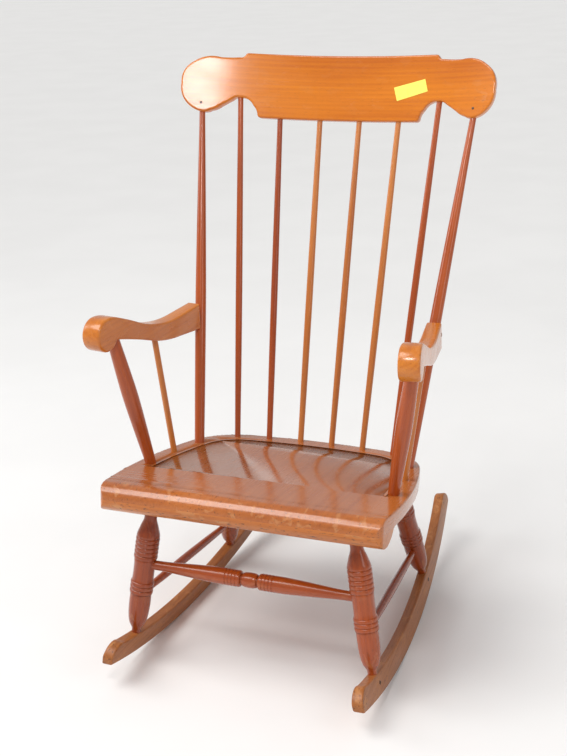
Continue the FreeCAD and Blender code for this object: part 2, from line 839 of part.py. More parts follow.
def build_arm():
    """The right arm: a scroll in front, a long dip and a thick rear end cut to the post's lean."""
    body = new_body("arm_blank")
    side_view = new_sketch(body, "arm_side_view", "YZ_Plane")
    radius = cell("arm_scroll_radius")
    dip = -cell("arm_dip")
    crease = (radius * cosine(30), -radius * sine(30))
    rear_low = dip - cell("arm_rear_thickness")
    draw(
        side_view,
        (0, "Sizes.arm_scroll_radius"),
        [
            arc((18, radius - 2), (36, radius - 8.2)),
            line(98, dip + 31),
            arc((156, dip + 9), (222, "-Sizes.arm_dip")),
            line(arm_end(dip + 1), dip + 1),
            line(arm_end(rear_low), rear_low),
            line(225, dip - 40),
            arc((183, dip - 33), (140, dip - 20)),
            line(*crease),
            arc((0, "-Sizes.arm_scroll_radius"), (-radius, 0)),
            arc((-radius * cosine(45), radius * sine(45)), (0, "Sizes.arm_scroll_radius")),
        ],
    )
    pad(body, side_view, "2 * Sizes.arm_front_width", symmetric=True)
    waste = new_sketch(body, "arm_plan_waste", "XY_Plane")
    front = -radius - 5
    rear = arm_end(0) + 30
    front_half = cell("arm_front_width") / 2
    rear_half = cell("arm_rear_width") / 2
    wide = 2 * cell("arm_front_width")
    for side in (1, -1):
        corners = ((wide, front), (wide, rear), (rear_half, rear), (front_half, front))
        draw(waste, (side * front_half, front), [line(side * across, back) for across, back in corners])
    pocket(body, waste, "8 * Sizes.arm_scroll_radius", symmetric=True)
    body.Placement = ARM_PLACE
    return body


def in_arm(distance, depth):
    """A point on the arm's middle line, that far along and under the scroll's centre."""
    return ARM_PLACE.multVec(Vector(0, distance, -depth))


ARM_POST_BITE = cell("arm_post_bite")
arm_post_head = in_arm(cell("arm_post_head_along"), cell("arm_post_head_depth"))
arm_spindle_head = in_arm(cell("arm_spindle_head_along"), cell("arm_spindle_head_depth"))
arm_post_sizes = ("arm_post_foot_diameter", "arm_post_belly_diameter", "arm_post_head_diameter")
arm_post = turning(
    "arm_post",
    arm_post_foot,
    arm_post_head,
    tenoned((arm_post_head - arm_post_foot).Length, arm_post_sizes, 0.55, 0, (SEAT_BITE, ARM_POST_BITE)),
)
keep_pair("arm_post", arm_post)
both_sockets(
    "arm_post_foot", arm_post_foot, arm_post_head, SEAT_BITE, "Sizes.arm_post_foot_diameter", seat_sockets
)
arm_socket = bore(
    "arm_socket",
    between(arm_post_head, arm_post_foot, -ARM_POST_BITE - SOCKET_SPARE),
    between(arm_post_head, arm_post_foot, SOCKET_CLEARANCE),
    "Sizes.arm_post_head_diameter",
)
arm_cope = bore("arm_cope", post_foot, post_head, "Sizes.post_belly_diameter", "Sizes.arm_cope_play")
arm = cut("arm", build_arm(), [arm_cope, arm_socket])
keep_pair("arm", arm)

seat_plank = cut("seat_plank", build_plank(), seat_sockets)
keep("seat_plank", seat_plank)

# Slender spindles: their ends are coped to the seat, the crest rail and the arms

arm_spindle_length = (arm_spindle_head - arm_spindle_foot).Length
arm_spindle_rod = turning(
    "arm_spindle_turning",
    arm_spindle_foot,
    arm_spindle_head,
    [
        ("Sizes.arm_spindle_diameter / 2", -COPE_SPARE),
        line("Sizes.arm_spindle_diameter / 2", arm_spindle_length + COPE_SPARE),
    ],
)
keep_pair("arm_spindle", cut("arm_spindle", arm_spindle_rod, [seat_plank, arm]))

spindle_sizes = ("spindle_foot_diameter", "spindle_belly_diameter", "spindle_head_diameter")
for number in range(3):
    foot_side = (number + 0.5) * cell("spindle_foot_pitch")
    head_side = (number + 0.5) * cell("spindle_head_pitch")
    under_scoop = head_side > cell("crest_bottom_half_length")
    low = on_seat(foot_side, seat_edge(foot_side, cell("spindle_inset")))
    high = crest_centre(head_side, cell("scoop_height") if under_scoop else 0)
    rod = turning(
        f"spindle_turning_{number + 4}",
        low,
        high,
        tenoned((high - low).Length, spindle_sizes, 0.42, BULGE, (COPE_SPARE, COPE_SPARE)),
    )
    spindle = cut(f"spindle_{number + 4}", rod, [seat_plank, crest_rail])
    keep(f"back_spindle_{number + 4}", spindle)
    keep(f"back_spindle_{3 - number}", mirrored(f"spindle_{3 - number}", spindle))

doc.recompute()

os.makedirs("parts", exist_ok=True)
for feature in doc.Objects:
    if "Invalid" in feature.State or "Error" in feature.State:
        raise RuntimeError(f"{feature.Name} failed to build")
for label, piece in pieces.items():
    shape = piece.Shape
    if shape.isNull() or not shape.isValid() or len(shape.Solids) != 1:
        raise RuntimeError(f"{label} is not one sound solid")
    shape.exportStep(f"parts/{label}.step")
    print(f"{label}: {shape.Volume / 1000:.1f} cubic centimetres")
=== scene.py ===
# %% [markdown]
# # A Boston rocking chair, piece by piece
#
# The chair is turned, sawn and bent wood under a honey-coloured varnish. The frame below is its plain
# solid model. This lesson dresses it: every piece is built again with its rounded edges, beads and
# grooves, in the place of its plain solid, and gets a varnished wood of its own shade.

import math

import bmesh
import bpy
from mathutils import Matrix, Vector


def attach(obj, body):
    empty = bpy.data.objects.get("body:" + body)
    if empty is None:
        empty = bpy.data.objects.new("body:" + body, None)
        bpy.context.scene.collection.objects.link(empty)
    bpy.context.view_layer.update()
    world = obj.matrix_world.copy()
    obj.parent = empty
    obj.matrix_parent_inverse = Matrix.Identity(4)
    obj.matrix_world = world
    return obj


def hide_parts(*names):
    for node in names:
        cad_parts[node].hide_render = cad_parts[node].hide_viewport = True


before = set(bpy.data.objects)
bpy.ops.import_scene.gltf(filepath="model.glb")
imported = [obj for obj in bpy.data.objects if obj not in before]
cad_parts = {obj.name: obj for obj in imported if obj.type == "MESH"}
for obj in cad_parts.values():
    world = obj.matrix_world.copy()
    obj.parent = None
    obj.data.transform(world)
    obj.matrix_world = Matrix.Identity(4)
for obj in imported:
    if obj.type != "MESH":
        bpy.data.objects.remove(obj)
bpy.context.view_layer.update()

# %% [markdown]
# ## The chair's own layout
#
# A chair maker measures from the front feet and from the floor, in millimetres, with the chair on its
# rockers' lowest point. The finished chair rolls a little about the centre of the rockers' arc, until
# its weight hangs under that centre. One matrix does both: it turns a layout point about the arc's
# centre and then makes metres of it. Every piece is built in millimetres and goes through it last.

# %% Layout to frame
ARC_CENTRE = Vector((0, 257.5, 1092))
REST_ROLL = math.radians(1.62)
MIDDLE_BACK = 303.9
TO_FRAME = (
    Matrix.Scale(0.001, 4)
    @ Matrix.Translation((0, -MIDDLE_BACK, 0))
    @ Matrix.Translation(ARC_CENTRE)
    @ Matrix.Rotation(REST_ROLL, 4, "X")
    @ Matrix.Translation(-ARC_CENTRE)
)


def turned(axis, degrees):
    return Matrix.Rotation(math.radians(degrees), 4, axis)


SEAT = Matrix.Translation((0, 0, 376)) @ turned("X", -10)
CREST = Matrix.Translation((0, 570, 906)) @ turned("X", -20.5)
ARM = Matrix.Translation((281.5, 75, 621)) @ turned("Z", 7.8)
print("seat top, front middle, in metres:", [round(v, 3) for v in TO_FRAME @ SEAT @ Vector((0, 0, 0))])

# %% [markdown]
# ## Varnished wood
#
# All the pieces share one recipe: a slow change between a pale and a deep shade, long streaks along the
# grain, the faint bands of the growth rings, and tiny dark pores. A coat of varnish lies over it. The
# pattern reads an attribute called `wood_at`, which holds each point's place in the block of wood that
# the piece was cut from, with the grain along Z. So the grain follows a bent rail or a leaning leg, as
# it does in real wood. A second attribute, `worn`, says where hands and shoes have rubbed.

# %% Helpers that wire a material


def add(tree, kind, inputs=(), **settings):
    """A node of that kind, with its own settings, and values or links for its sockets."""
    made = tree.nodes.new(kind)
    for name, setting in settings.items():
        setattr(made, name, setting)
    for socket, value in dict(inputs).items():
        if isinstance(value, bpy.types.NodeSocket):
            tree.links.new(value, made.inputs[socket])
        else:
            made.inputs[socket].default_value = value
    return made


def stretched(tree, at, scale):
    """The wood's own coordinates, scaled: a small scale along Z draws the pattern out along the grain."""
    return add(tree, "ShaderNodeMapping", {"Vector": at, "Scale": scale}).outputs[0]


def noise(tree, at, scale, detail=3.0, distortion=0.0):
    inputs = {"Vector": stretched(tree, at, scale), "Scale": 1.0, "Detail": detail, "Distortion": distortion}
    return add(tree, "ShaderNodeTexNoise", inputs).outputs["Fac"]


def ramp(tree, factor, low, high, to_low=0.0, to_high=1.0):
    """A factor's stretch from low to high, drawn out smoothly to the new range."""
    inputs = {0: factor, 1: low, 2: high, 3: to_low, 4: to_high}
    return add(tree, "ShaderNodeMapRange", inputs, interpolation_type="SMOOTHSTEP").outputs[0]


def maths(tree, operation, first, second):
    return add(tree, "ShaderNodeMath", {0: first, 1: second}, operation=operation).outputs[0]


def mixed(tree, factor, first, second):
    return add(tree, "ShaderNodeMix", {0: factor, 6: first, 7: second}, data_type="RGBA").outputs[2]


def new_finish(name):
    """A new material, with its tree, its surface shader and the wood's coordinates."""
    material = bpy.data.materials.new(name)
    material.use_nodes = True
    tree = material.node_tree
    at = add(tree, "ShaderNodeAttribute", attribute_name="wood_at").outputs["Vector"]
    return material, tree, tree.nodes["Principled BSDF"], at


def roughen(tree, surface, height, strength, distance):
    """Raise and lower the surface by a height."""
    bump = add(tree, "ShaderNodeBump", {"Strength": strength, "Distance": distance, "Height": height})
    tree.links.new(bump.outputs[0], surface.inputs["Normal"])


# %% The recipe for varnished wood
BARE_WOOD = (0.62, 0.30, 0.12, 1)
WORN_SHADE = (0.075, 0.030, 0.012, 1)
CLOUD_SHARE, STREAK_SHARE, RING_SHARE, PORE_SHARE = 0.55, 0.28, 0.17, 0.45


def varnished_wood(name, pale, deep, dullness=0.2, coat=0.55):
    """One finish: its pale and deep shades, how dull it is, and how much varnish lies over it."""
    material, tree, surface, at = new_finish(name)
    worn = add(tree, "ShaderNodeAttribute", attribute_name="worn").outputs["Fac"]

    # The figure of the wood: slow clouds, long streaks and faint growth rings
    cloud = ramp(tree, noise(tree, at, (9, 9, 2.2), 3), 0.32, 0.68)
    streak = ramp(tree, noise(tree, at, (230, 230, 5), 4, 0.25), 0.3, 0.7)
    wave = {"Vector": stretched(tree, at, (34, 34, 1.6)), "Scale": 1.0, "Distortion": 5.0, "Detail": 2.0}
    rings = add(tree, "ShaderNodeTexWave", wave, wave_type="RINGS", rings_direction="Z").outputs["Fac"]
    figure = maths(tree, "MULTIPLY", cloud, CLOUD_SHARE)
    figure = maths(tree, "ADD", figure, maths(tree, "MULTIPLY", streak, STREAK_SHARE))
    figure = maths(tree, "ADD", figure, maths(tree, "MULTIPLY", rings, RING_SHARE))
    colour = mixed(tree, figure, pale, deep)
    pores = ramp(tree, noise(tree, at, (1300, 1300, 60), 2), 0.62, 0.74, 0, PORE_SHARE)
    dark_pore = tuple(0.35 * channel for channel in deep[:3]) + (1,)
    colour = mixed(tree, pores, colour, dark_pore)

    # The wear: pale scraped patches and dark specks, only where the piece is worn
    scraped = ramp(tree, noise(tree, at, (55, 55, 30), 5, 0.6), 0.56, 0.66)
    scraped = maths(tree, "MULTIPLY", scraped, worn)
    colour = mixed(tree, maths(tree, "MULTIPLY", scraped, 0.55), colour, BARE_WOOD)
    specks = ramp(tree, noise(tree, at, (330, 330, 120), 4, 0.4), 0.60, 0.68)
    specks = maths(tree, "MULTIPLY", specks, worn)
    colour = mixed(tree, specks, colour, WORN_SHADE)
    tree.links.new(colour, surface.inputs["Base Color"])

    # The gloss: duller in the streaks, in the scraped patches and in slow smears
    dull = maths(tree, "MULTIPLY", streak, 0.05)
    dull = maths(tree, "ADD", dull, maths(tree, "MULTIPLY", scraped, 0.25))
    dull = maths(tree, "ADD", dull, ramp(tree, noise(tree, at, (26, 26, 14), 3), 0.35, 0.75, 0, 0.10))
    tree.links.new(maths(tree, "ADD", dull, dullness), surface.inputs["Roughness"])
    surface.inputs["Coat Weight"].default_value = coat
    surface.inputs["Coat Roughness"].default_value = 0.75 * dullness
    surface.inputs["Specular IOR Level"].default_value = 0.3

    # The feel: brushed varnish ripples, open grain, and dents where the specks are
    height = maths(tree, "MULTIPLY", noise(tree, at, (60, 60, 34), 2), 0.3)
    height = maths(tree, "ADD", height, maths(tree, "MULTIPLY", streak, 0.12))
    height = maths(tree, "SUBTRACT", height, maths(tree, "MULTIPLY", specks, 0.5))
    roughen(tree, surface, height, 0.3, 0.0004)
    return material


# %% [markdown]
# ## The shades
#
# The parts of the real chair came out of the finisher's bath in different shades: the crest rail and
# the arms are a clear honey orange, the seat is browner, the legs and the back posts are redder, the
# middle spindles are pale, and the rockers have lost most of their gloss.

# %% One material for each shade
SHADES = {
    "honey": ((0.70, 0.205, 0.010, 1), (0.48, 0.105, 0.004, 1), 0.17, 0.55),
    "arm": ((0.66, 0.215, 0.026, 1), (0.44, 0.105, 0.010, 1), 0.19, 0.55),
    "seat": ((0.50, 0.150, 0.030, 1), (0.35, 0.088, 0.015, 1), 0.2, 0.8),
    "front_roll": ((0.66, 0.21, 0.030, 1), (0.42, 0.11, 0.014, 1), 0.26, 0.55),
    "post": ((0.46, 0.088, 0.010, 1), (0.28, 0.042, 0.005, 1), 0.18, 0.55),
    "pale_spindle": ((0.62, 0.215, 0.045, 1), (0.42, 0.115, 0.018, 1), 0.21, 0.55),
    "leg": ((0.40, 0.072, 0.010, 1), (0.22, 0.032, 0.005, 1), 0.21, 0.55),
    "rocker": ((0.44, 0.155, 0.040, 1), (0.24, 0.072, 0.018, 1), 0.36, 0.2),
    "plug": ((0.30, 0.09, 0.02, 1), (0.17, 0.045, 0.012, 1), 0.3, 0.55),
}
FINISH = {shade: varnished_wood(f"{shade}_varnish", *recipe) for shade, recipe in SHADES.items()}
print("shades:", sorted(FINISH))

# %% [markdown]
# ## Finishing a piece
#
# Whatever way a piece is made, it ends the same: its place in the block of wood is written down, it is
# carried to its place in the chair, its faces are shaded smooth except over sharp edges, and it takes
# the place of its plain solid.

# %% Write the wood's coordinates, place the piece, hand it to the frame
LARGE_FLAT = 0.002  # square metres; larger faces are flat boards, and their rims carry the shading
GRAIN_ORDER = {"x": (1, 2, 0), "y": (2, 0, 1), "z": (0, 1, 2)}


def block_shift(block):
    """Every piece comes out of another part of the timber, so no two have the same figure."""
    return Vector((0.31, -0.17, 0.73)) * block


def write_wood(mesh, grain, block):
    """Each point's place in its block, in metres, with the grain along the last coordinate."""
    attribute = mesh.attributes.new("wood_at", "FLOAT_VECTOR", "POINT")
    for index, vertex in enumerate(mesh.vertices):
        place = Vector([0.001 * vertex.co[axis] for axis in GRAIN_ORDER[grain]])
        attribute.data[index].vector = place + block_shift(block)


def write_wear(mesh, wear):
    """How worn each point is, from 0 to 1, as a rule of its place in the piece's own millimetres."""
    attribute = mesh.attributes.new("worn", "FLOAT", "POINT")
    for index, vertex in enumerate(mesh.vertices):
        attribute.data[index].value = max(0.0, min(1.0, wear(vertex.co)))


def finish_piece(name, mesh, place, material, replaces=None, sharp=32):
    """The mesh is in millimetres; place carries it into the chair's layout."""
    mesh.transform(TO_FRAME @ place)
    mesh.name = name
    if not mesh.materials:
        mesh.materials.append(material)
    for face in mesh.polygons:
        face.use_smooth = face.area < LARGE_FLAT
    mesh.set_sharp_from_angle(angle=math.radians(sharp))
    piece = bpy.data.objects.new(name, mesh)
    bpy.context.scene.collection.objects.link(piece)
    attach(piece, "root")
    if replaces:
        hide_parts(replaces)
    return piece


def turned_outwards(mesh):
    """The same mesh with every face turned outwards."""
    bm = bmesh.new()
    bm.from_mesh(mesh)
    bmesh.ops.recalc_face_normals(bm, faces=bm.faces)
    bm.to_mesh(mesh)
    bm.free()
    return mesh


def mesh_of(bm, name):
    """A mesh of what bmesh holds, with doubles merged and every face turned outwards."""
    bmesh.ops.remove_doubles(bm, verts=bm.verts, dist=0.002)
    bmesh.ops.recalc_face_normals(bm, faces=bm.faces)
    mesh = bpy.data.meshes.new(name)
    bm.to_mesh(mesh)
    bm.free()
    return mesh


def on_side(mesh, place, mirror):
    """The mesh in its place on the right side, or for a mirror of -1 on the left one."""
    bm = bmesh.new()
    bm.from_mesh(mesh)
    bmesh.ops.transform(bm, matrix=place, verts=bm.verts)
    bmesh.ops.scale(bm, vec=(mirror, 1, 1), verts=bm.verts)
    return mesh_of(bm, mesh.name)


# %% [markdown]
# ## A lathe of Geometry Nodes
#
# Twenty pieces of this chair were made on a lathe: legs, stretchers, posts and spindles. A lathe
# turns a profile about an axis, and Geometry Nodes do the same. The input is a line of points up the
# Z axis, and each point carries its radius. The tree makes a curve of them, sweeps a circle along it at
# that radius, closes the ends and writes the wood's coordinates. So one tree makes them all, and a new
# profile is only a list of distances and radii.

# %% Build the lathe's tree


def node_tree(name, inputs, output):
    """A Geometry Nodes tree with named inputs, and the sockets that they arrive at."""
    tree = bpy.data.node_groups.new(name, "GeometryNodeTree")
    for label, kind in inputs:
        tree.interface.new_socket(label, in_out="INPUT", socket_type=f"NodeSocket{kind}")
    tree.interface.new_socket(output, in_out="OUTPUT", socket_type="NodeSocketGeometry")
    return tree, add(tree, "NodeGroupInput").outputs


def build_lathe():
    inputs = (("Blank", "Geometry"), ("Sides", "Int"), ("Block", "Vector"), ("Finish", "Material"))
    tree, into = node_tree("lathe", inputs, "Turning")
    radius = add(tree, "GeometryNodeInputNamedAttribute", {"Name": "radius_here"}, data_type="FLOAT")
    radius = radius.outputs[0]
    axis = add(tree, "GeometryNodeMeshToCurve", {"Mesh": into["Blank"]}).outputs[0]
    axis = add(tree, "GeometryNodeSetCurveRadius", {"Curve": axis, "Radius": radius}).outputs[0]
    ring = {"Resolution": into["Sides"], "Radius": 1.0}
    ring = add(tree, "GeometryNodeCurvePrimitiveCircle", ring).outputs[0]
    sweep = {"Curve": axis, "Profile Curve": ring, "Scale": radius, "Fill Caps": True}
    swept = add(tree, "GeometryNodeCurveToMesh", sweep).outputs[0]
    here = add(tree, "GeometryNodeInputPosition").outputs[0]
    metres = add(tree, "ShaderNodeVectorMath", {0: here, 3: 0.001}, operation="SCALE").outputs[0]
    block = add(tree, "ShaderNodeVectorMath", {0: metres, 1: into["Block"]}).outputs[0]
    store = {"Geometry": swept, "Name": "wood_at", "Value": block}
    stored = add(tree, "GeometryNodeStoreNamedAttribute", store, data_type="FLOAT_VECTOR").outputs[0]
    plain = add(tree, "GeometryNodeRealizeInstances", {"Geometry": stored}).outputs[0]
    made = add(tree, "GeometryNodeSetMaterial", {"Geometry": plain, "Material": into["Finish"]}).outputs[0]
    tree.links.new(made, add(tree, "NodeGroupOutput").inputs[0])
    return tree


LATHE = build_lathe()
print("lathe inputs:", [item.name for item in LATHE.interface.items_tree if item.in_out == "INPUT"])

# %% Run a Geometry Nodes tree once and keep the plain mesh


def made_by(tree, start_mesh, settings):
    """The tree's result on a mesh, with its named inputs set, as a mesh of its own."""
    holder = bpy.data.objects.new(tree.name + "_holder", start_mesh)
    bpy.context.scene.collection.objects.link(holder)
    modifier = holder.modifiers.new(tree.name, "NODES")
    modifier.node_group = tree
    for item in tree.interface.items_tree:
        if item.in_out == "INPUT" and item.name in settings:
            modifier[item.identifier] = settings[item.name]
    evaluated = holder.evaluated_get(bpy.context.evaluated_depsgraph_get())
    mesh = bpy.data.meshes.new_from_object(evaluated)
    holder.modifiers.remove(modifier)
    bpy.data.objects.remove(holder)
    return mesh


def axis_place(start, end):
    """A place whose Z runs from start to end."""
    return Matrix.Translation(start) @ (end - start).to_track_quat("Z", "Y").to_matrix().to_4x4()


def turn_piece(name, profile, start, end, material, block, wear=None, sides=48):
    """A turned piece, from its profile of (distance, radius) along the axis from start to end."""
    blank = bpy.data.meshes.new(name)
    links = [(n, n + 1) for n in range(len(profile) - 1)]
    blank.from_pydata([(0, 0, along) for along, radius in profile], links, [])
    radii = blank.attributes.new("radius_here", "FLOAT", "POINT")
    radii.data.foreach_set("value", [radius for along, radius in profile])
    settings = {"Sides": sides, "Block": tuple(block_shift(block)), "Finish": material}
    mesh = turned_outwards(made_by(LATHE, blank, settings))
    if wear:
        write_wear(mesh, wear)
    return finish_piece(name, mesh, axis_place(start, end), material, replaces=name, sharp=38)


# %% [markdown]
# ## Profiles
#
# A turner thinks in a few shapes: a long swelling line, a bead, a groove. The line here runs through
# given points on a smooth curve that doesn't overshoot, and a row of beads is a half circle again and
# again with a sharp groove between two of them.

# %% Shapes of a profile


def smooth_line(points, step=6.0):
    """A smooth line through (distance, radius) points that never swings past them."""
    count = len(points)
    slopes = [(points[n + 1][1] - points[n][1]) / (points[n + 1][0] - points[n][0]) for n in range(count - 1)]
    tangents = [slopes[0]] + [0.0] * (count - 2) + [slopes[-1]]
    for n in range(1, count - 1):
        if slopes[n - 1] * slopes[n] > 0:
            tangents[n] = 2 * slopes[n - 1] * slopes[n] / (slopes[n - 1] + slopes[n])
    line = []
    for n in range(count - 1):
        (low, low_radius), (high, high_radius) = points[n], points[n + 1]
        span = high - low
        rows = max(1, round(span / step))
        for row in range(rows):
            t = row / rows
            bend = low_radius * (2 * t**3 - 3 * t**2 + 1) + high_radius * (3 * t**2 - 2 * t**3)
            bend += span * (tangents[n] * (t**3 - 2 * t**2 + t) + tangents[n + 1] * (t**3 - t**2))
            line.append((low + span * t, bend))
    return line + [points[-1]]


def beads(start, pitch, count, radius, groove, rows=8):
    """Beads side by side: each is a flat half ellipse, and two of them meet in a groove."""
    line = []
    for bead in range(count):
        for row in range(rows):
            across = -1 + 2 * row / rows
            rise = math.sqrt(max(0.0, 1 - across**2))
            line.append((start + (bead + 0.5 + across / 2) * pitch, radius - groove + groove * rise**0.8))
    return line + [(start + count * pitch, radius - groove)]


# %% [markdown]
# ## Legs
#
# The four legs are one turning. It stands in the rocker on a thin foot, swells to a calf, and carries a
# band of three rings, a waist, and five rings under the shoulder. Above the shoulder it draws in to a
# neck that goes into the seat.

# %% Where the legs stand


def rocker_top(back):
    return 1092 - math.sqrt(1054**2 - (back - 257.5) ** 2)


def rocker_side(back, height):
    """How far out the middle of the rocker's board is: it leans out and toes in."""
    out = 228 - math.tan(math.radians(3.5)) * back
    return out - math.tan(math.radians(11)) * (height - rocker_top(0))


def leg_foot(back):
    return Vector((rocker_side(back, rocker_top(back)), back, rocker_top(back)))


def on_seat(side, back, depth=0.0):
    return SEAT @ Vector((side, back, -depth))


def other_side(point):
    return Vector((-point.x, point.y, point.z))


LEG_AXES = {
    "front_leg": (leg_foot(0), on_seat(187, 48, 27)),
    "rear_leg": (leg_foot(392), on_seat(167, 342, 27)),
}

# %% Turn the legs


def leg_profile(length):
    line = smooth_line([(-3, 8.3), (5, 8.5), (18, 14.6), (30, 17.6), (46, 19.2), (62, 19.7), (78.5, 19.3)], 4)
    line += smooth_line([(79, 20.4), (80, 20.7)], 1)
    line += beads(80.2, 8, 3, 21.5, 1.8)
    line += smooth_line([(105.2, 20.2), (109, 19.4), (122, 19.2), (138, 19.5), (148, 20.4)], 4)
    line += beads(149, 8.4, 5, 21.7, 1.8)
    shoulder = [(191.6, 20.6), (193, 21.3), (199, 20.2), (206, 18.0), (214, 15.6), (222, 12.6), (227, 11.5)]
    return line + smooth_line(shoulder, 2.5) + [(length + 4, 11.4)]


def leg_wear(point):
    return 0.35 if point.z < 60 else 0.12


for name, (start, end) in LEG_AXES.items():
    for side, move in (("right", lambda point: point), ("left", other_side)):
        profile = leg_profile((end - start).length)
        block = len(name) + (3 if side == "left" else 0)
        turn_piece(f"{name}_{side}", profile, move(start), move(end), FINISH["leg"], block, leg_wear)
print("legs:", len(profile), "rings of points each")

# %% [markdown]
# ## Stretchers
#
# The front stretcher is the chair's show piece: a round bead in its middle, a neck on each side of it,
# and two long bellies with four cut grooves each. The other three are plain rods with a gentle swell.

# %% Turn the stretchers


def between(start, end, distance):
    return start + (end - start).normalized() * distance


GROOVE = ((-1.2, 0), (-0.5, 0.8), (0, 1.1), (0.5, 0.8), (1.2, 0))
STRETCHER_WEAR = 0.15


def front_stretcher_profile(half):
    """The right half from the bead outwards, and then its mirror image on the left."""
    right = []
    for row in range(9):
        turn = math.pi / 2 * row / 9
        right.append((14.3 * math.sin(turn), 9.6 + 4.2 * math.cos(turn) ** 0.75))
    right += [(14.3, 9.3), (15.2, 9.2), (16.2, 9.4)]
    right += smooth_line([(16.6, 11.5), (18.2, 14.0), (20.5, 14.8), (23, 15.0)], 1.2)
    for groove in range(4):
        level = 25 + 6.5 * groove
        right += [(level + aside, 15.0 - depth) for aside, depth in GROOVE]
    right += smooth_line([(47, 15.0), (62, 14.9), (95, 13.4), (135, 10.9), (half - 34, 9.0), (half, 8.5)], 6)
    left = [(-along, radius) for along, radius in reversed(right[1:])]
    return left + right


FRONT_LEG, REAR_LEG = LEG_AXES["front_leg"], LEG_AXES["rear_leg"]
front_level = between(*FRONT_LEG, 137)
rear_level = between(*REAR_LEG, 130)
side_levels = (between(*FRONT_LEG, 76), between(*REAR_LEG, 60))

half = front_level.x - 6
middle = Vector((0, front_level.y, front_level.z))
profile = front_stretcher_profile(half)
turn_piece("front_stretcher", profile, middle, front_level, FINISH["leg"], 9, lambda at: STRETCHER_WEAR)


def rod_profile(length, end, middle_radius, share=0.5, bite=6.0):
    """A rod that swells from its ends to its belly."""
    low, high = end
    belly = length * share
    points = [(-bite, low), (4, low), (0.5 * belly, 0.35 * low + 0.65 * middle_radius), (belly, middle_radius)]
    points += [(0.5 * (belly + length), 0.4 * high + 0.6 * middle_radius), (length - 4, high), (length + bite, high)]
    return smooth_line(points, 12)


for name, start, end, sizes, block in (
    ("rear_stretcher", other_side(rear_level), rear_level, (7.0, 9.0), 11),
    ("side_stretcher_right", *side_levels, (6.5, 8.25), 12),
    ("side_stretcher_left", other_side(side_levels[0]), other_side(side_levels[1]), (6.5, 8.25), 13),
):
    low, high = between(start, end, 15), between(end, start, 15)
    profile = rod_profile((high - low).length, (sizes[0], sizes[0]), sizes[1])
    turn_piece(name, profile, low, high, FINISH["leg"], block, lambda at: STRETCHER_WEAR, sides=32)
print("stretchers: front", round(2 * half), "mm long")

# %% [markdown]
# ## Back posts, spindles and arm posts
#
# The back is two stout posts and six thin spindles between the seat and the crest rail, fanned out
# towards the top. Each is turned with its belly a little below the middle. The arm posts are thicker
# and lean out, and a thin straight spindle stands behind each of them.

# %% Turn the back
CREST_BOW = 840
CREST_THICK = 19


def crest_middle(side, height):
    """The middle of the crest rail's thickness, so far out and so far up the board."""
    bow = math.sqrt((CREST_BOW + CREST_THICK / 2) ** 2 - side**2) - CREST_BOW
    return CREST @ Vector((side, bow, height))


def seat_rear(side, inset):
    """The line of the spindles' feet: the seat's rear edge, moved in."""
    return -500 + math.sqrt((900 - inset) ** 2 - side**2)


POST_FOOT, POST_HEAD = on_seat(212, 297), crest_middle(271, 5)
for side, move in (("right", lambda point: point), ("left", other_side)):
    start, end = move(POST_FOOT), move(POST_HEAD)
    length = (end - start).length
    points = [(-3, 9.5), (6, 9.6), (0.2 * length, 10.4), (0.4 * length, 10.7), (0.62 * length, 9.4)]
    points += [(0.85 * length, 7.2), (length - 7, 5.8), (length + 8, 5.7)]
    profile, block = smooth_line(points, 12), 14 + len(side)
    turn_piece(f"back_post_{side}", profile, start, end, FINISH["post"], block)

PALE_SPINDLES = (3, 4, 5)
for number in range(1, 7):
    step = number - 3.5
    foot_side, head_side = 64.5 * step, 80 * step
    low = on_seat(foot_side, seat_rear(foot_side, 16))
    high = crest_middle(head_side, 33 if abs(head_side) > 158 else 0)
    length = (high - low).length
    profile = rod_profile(length, (5.75, 5.25), 6.75, 0.42)
    shade, slot = ("pale_spindle", "pale_wood") if number in PALE_SPINDLES else ("post", "turned_wood")
    turn_piece(f"back_spindle_{number}", profile, low, high, FINISH[shade], 20 + number, sides=24)
print("back:", number, "spindles and 2 posts")

# %% Turn the arm posts and the arm spindles
ARM_POST_FOOT, ARM_POST_HEAD = on_seat(233, 128), ARM @ Vector((0, 32, -14))
ARM_ROD_FOOT, ARM_ROD_HEAD = on_seat(228, 216), ARM @ Vector((0, 158, -50))
for side, move in (("right", lambda point: point), ("left", other_side)):
    start, end = move(ARM_POST_FOOT), move(ARM_POST_HEAD)
    length = (end - start).length
    points = [(-3, 9.9), (5, 10.1), (0.25 * length, 12.4), (0.55 * length, 14.4), (0.8 * length, 12.9)]
    points += [(length - 4, 11.2), (length + 4, 11.0)]
    profile, block = smooth_line(points, 8), 30 + len(side)
    turn_piece(f"arm_post_{side}", profile, start, end, FINISH["post"], block)
    start, end = move(ARM_ROD_FOOT), move(ARM_ROD_HEAD)
    length = (end - start).length
    profile = smooth_line([(-3, 5.7), (length / 2, 5.75), (length + 6, 5.6)], 20)
    block = 36 + len(side)
    turn_piece(f"arm_spindle_{side}", profile, start, end, FINISH["pale_spindle"], block, sides=24)
print("arm posts stand", round((ARM_POST_HEAD - ARM_POST_FOOT).length), "mm tall")

# %% [markdown]
# ## Sawn boards with rounded edges
#
# The crest rail and the arms start as boards that are sawn to an outline and then rounded over. Such a
# board is a stack of rings: each ring is the outline, moved inwards a little less, and pushed out a
# little more, along a quarter circle. The two flat faces close it. It is as good as a bevel, and it
# can't clash with itself on a finely divided outline.

# %% A board from its outline


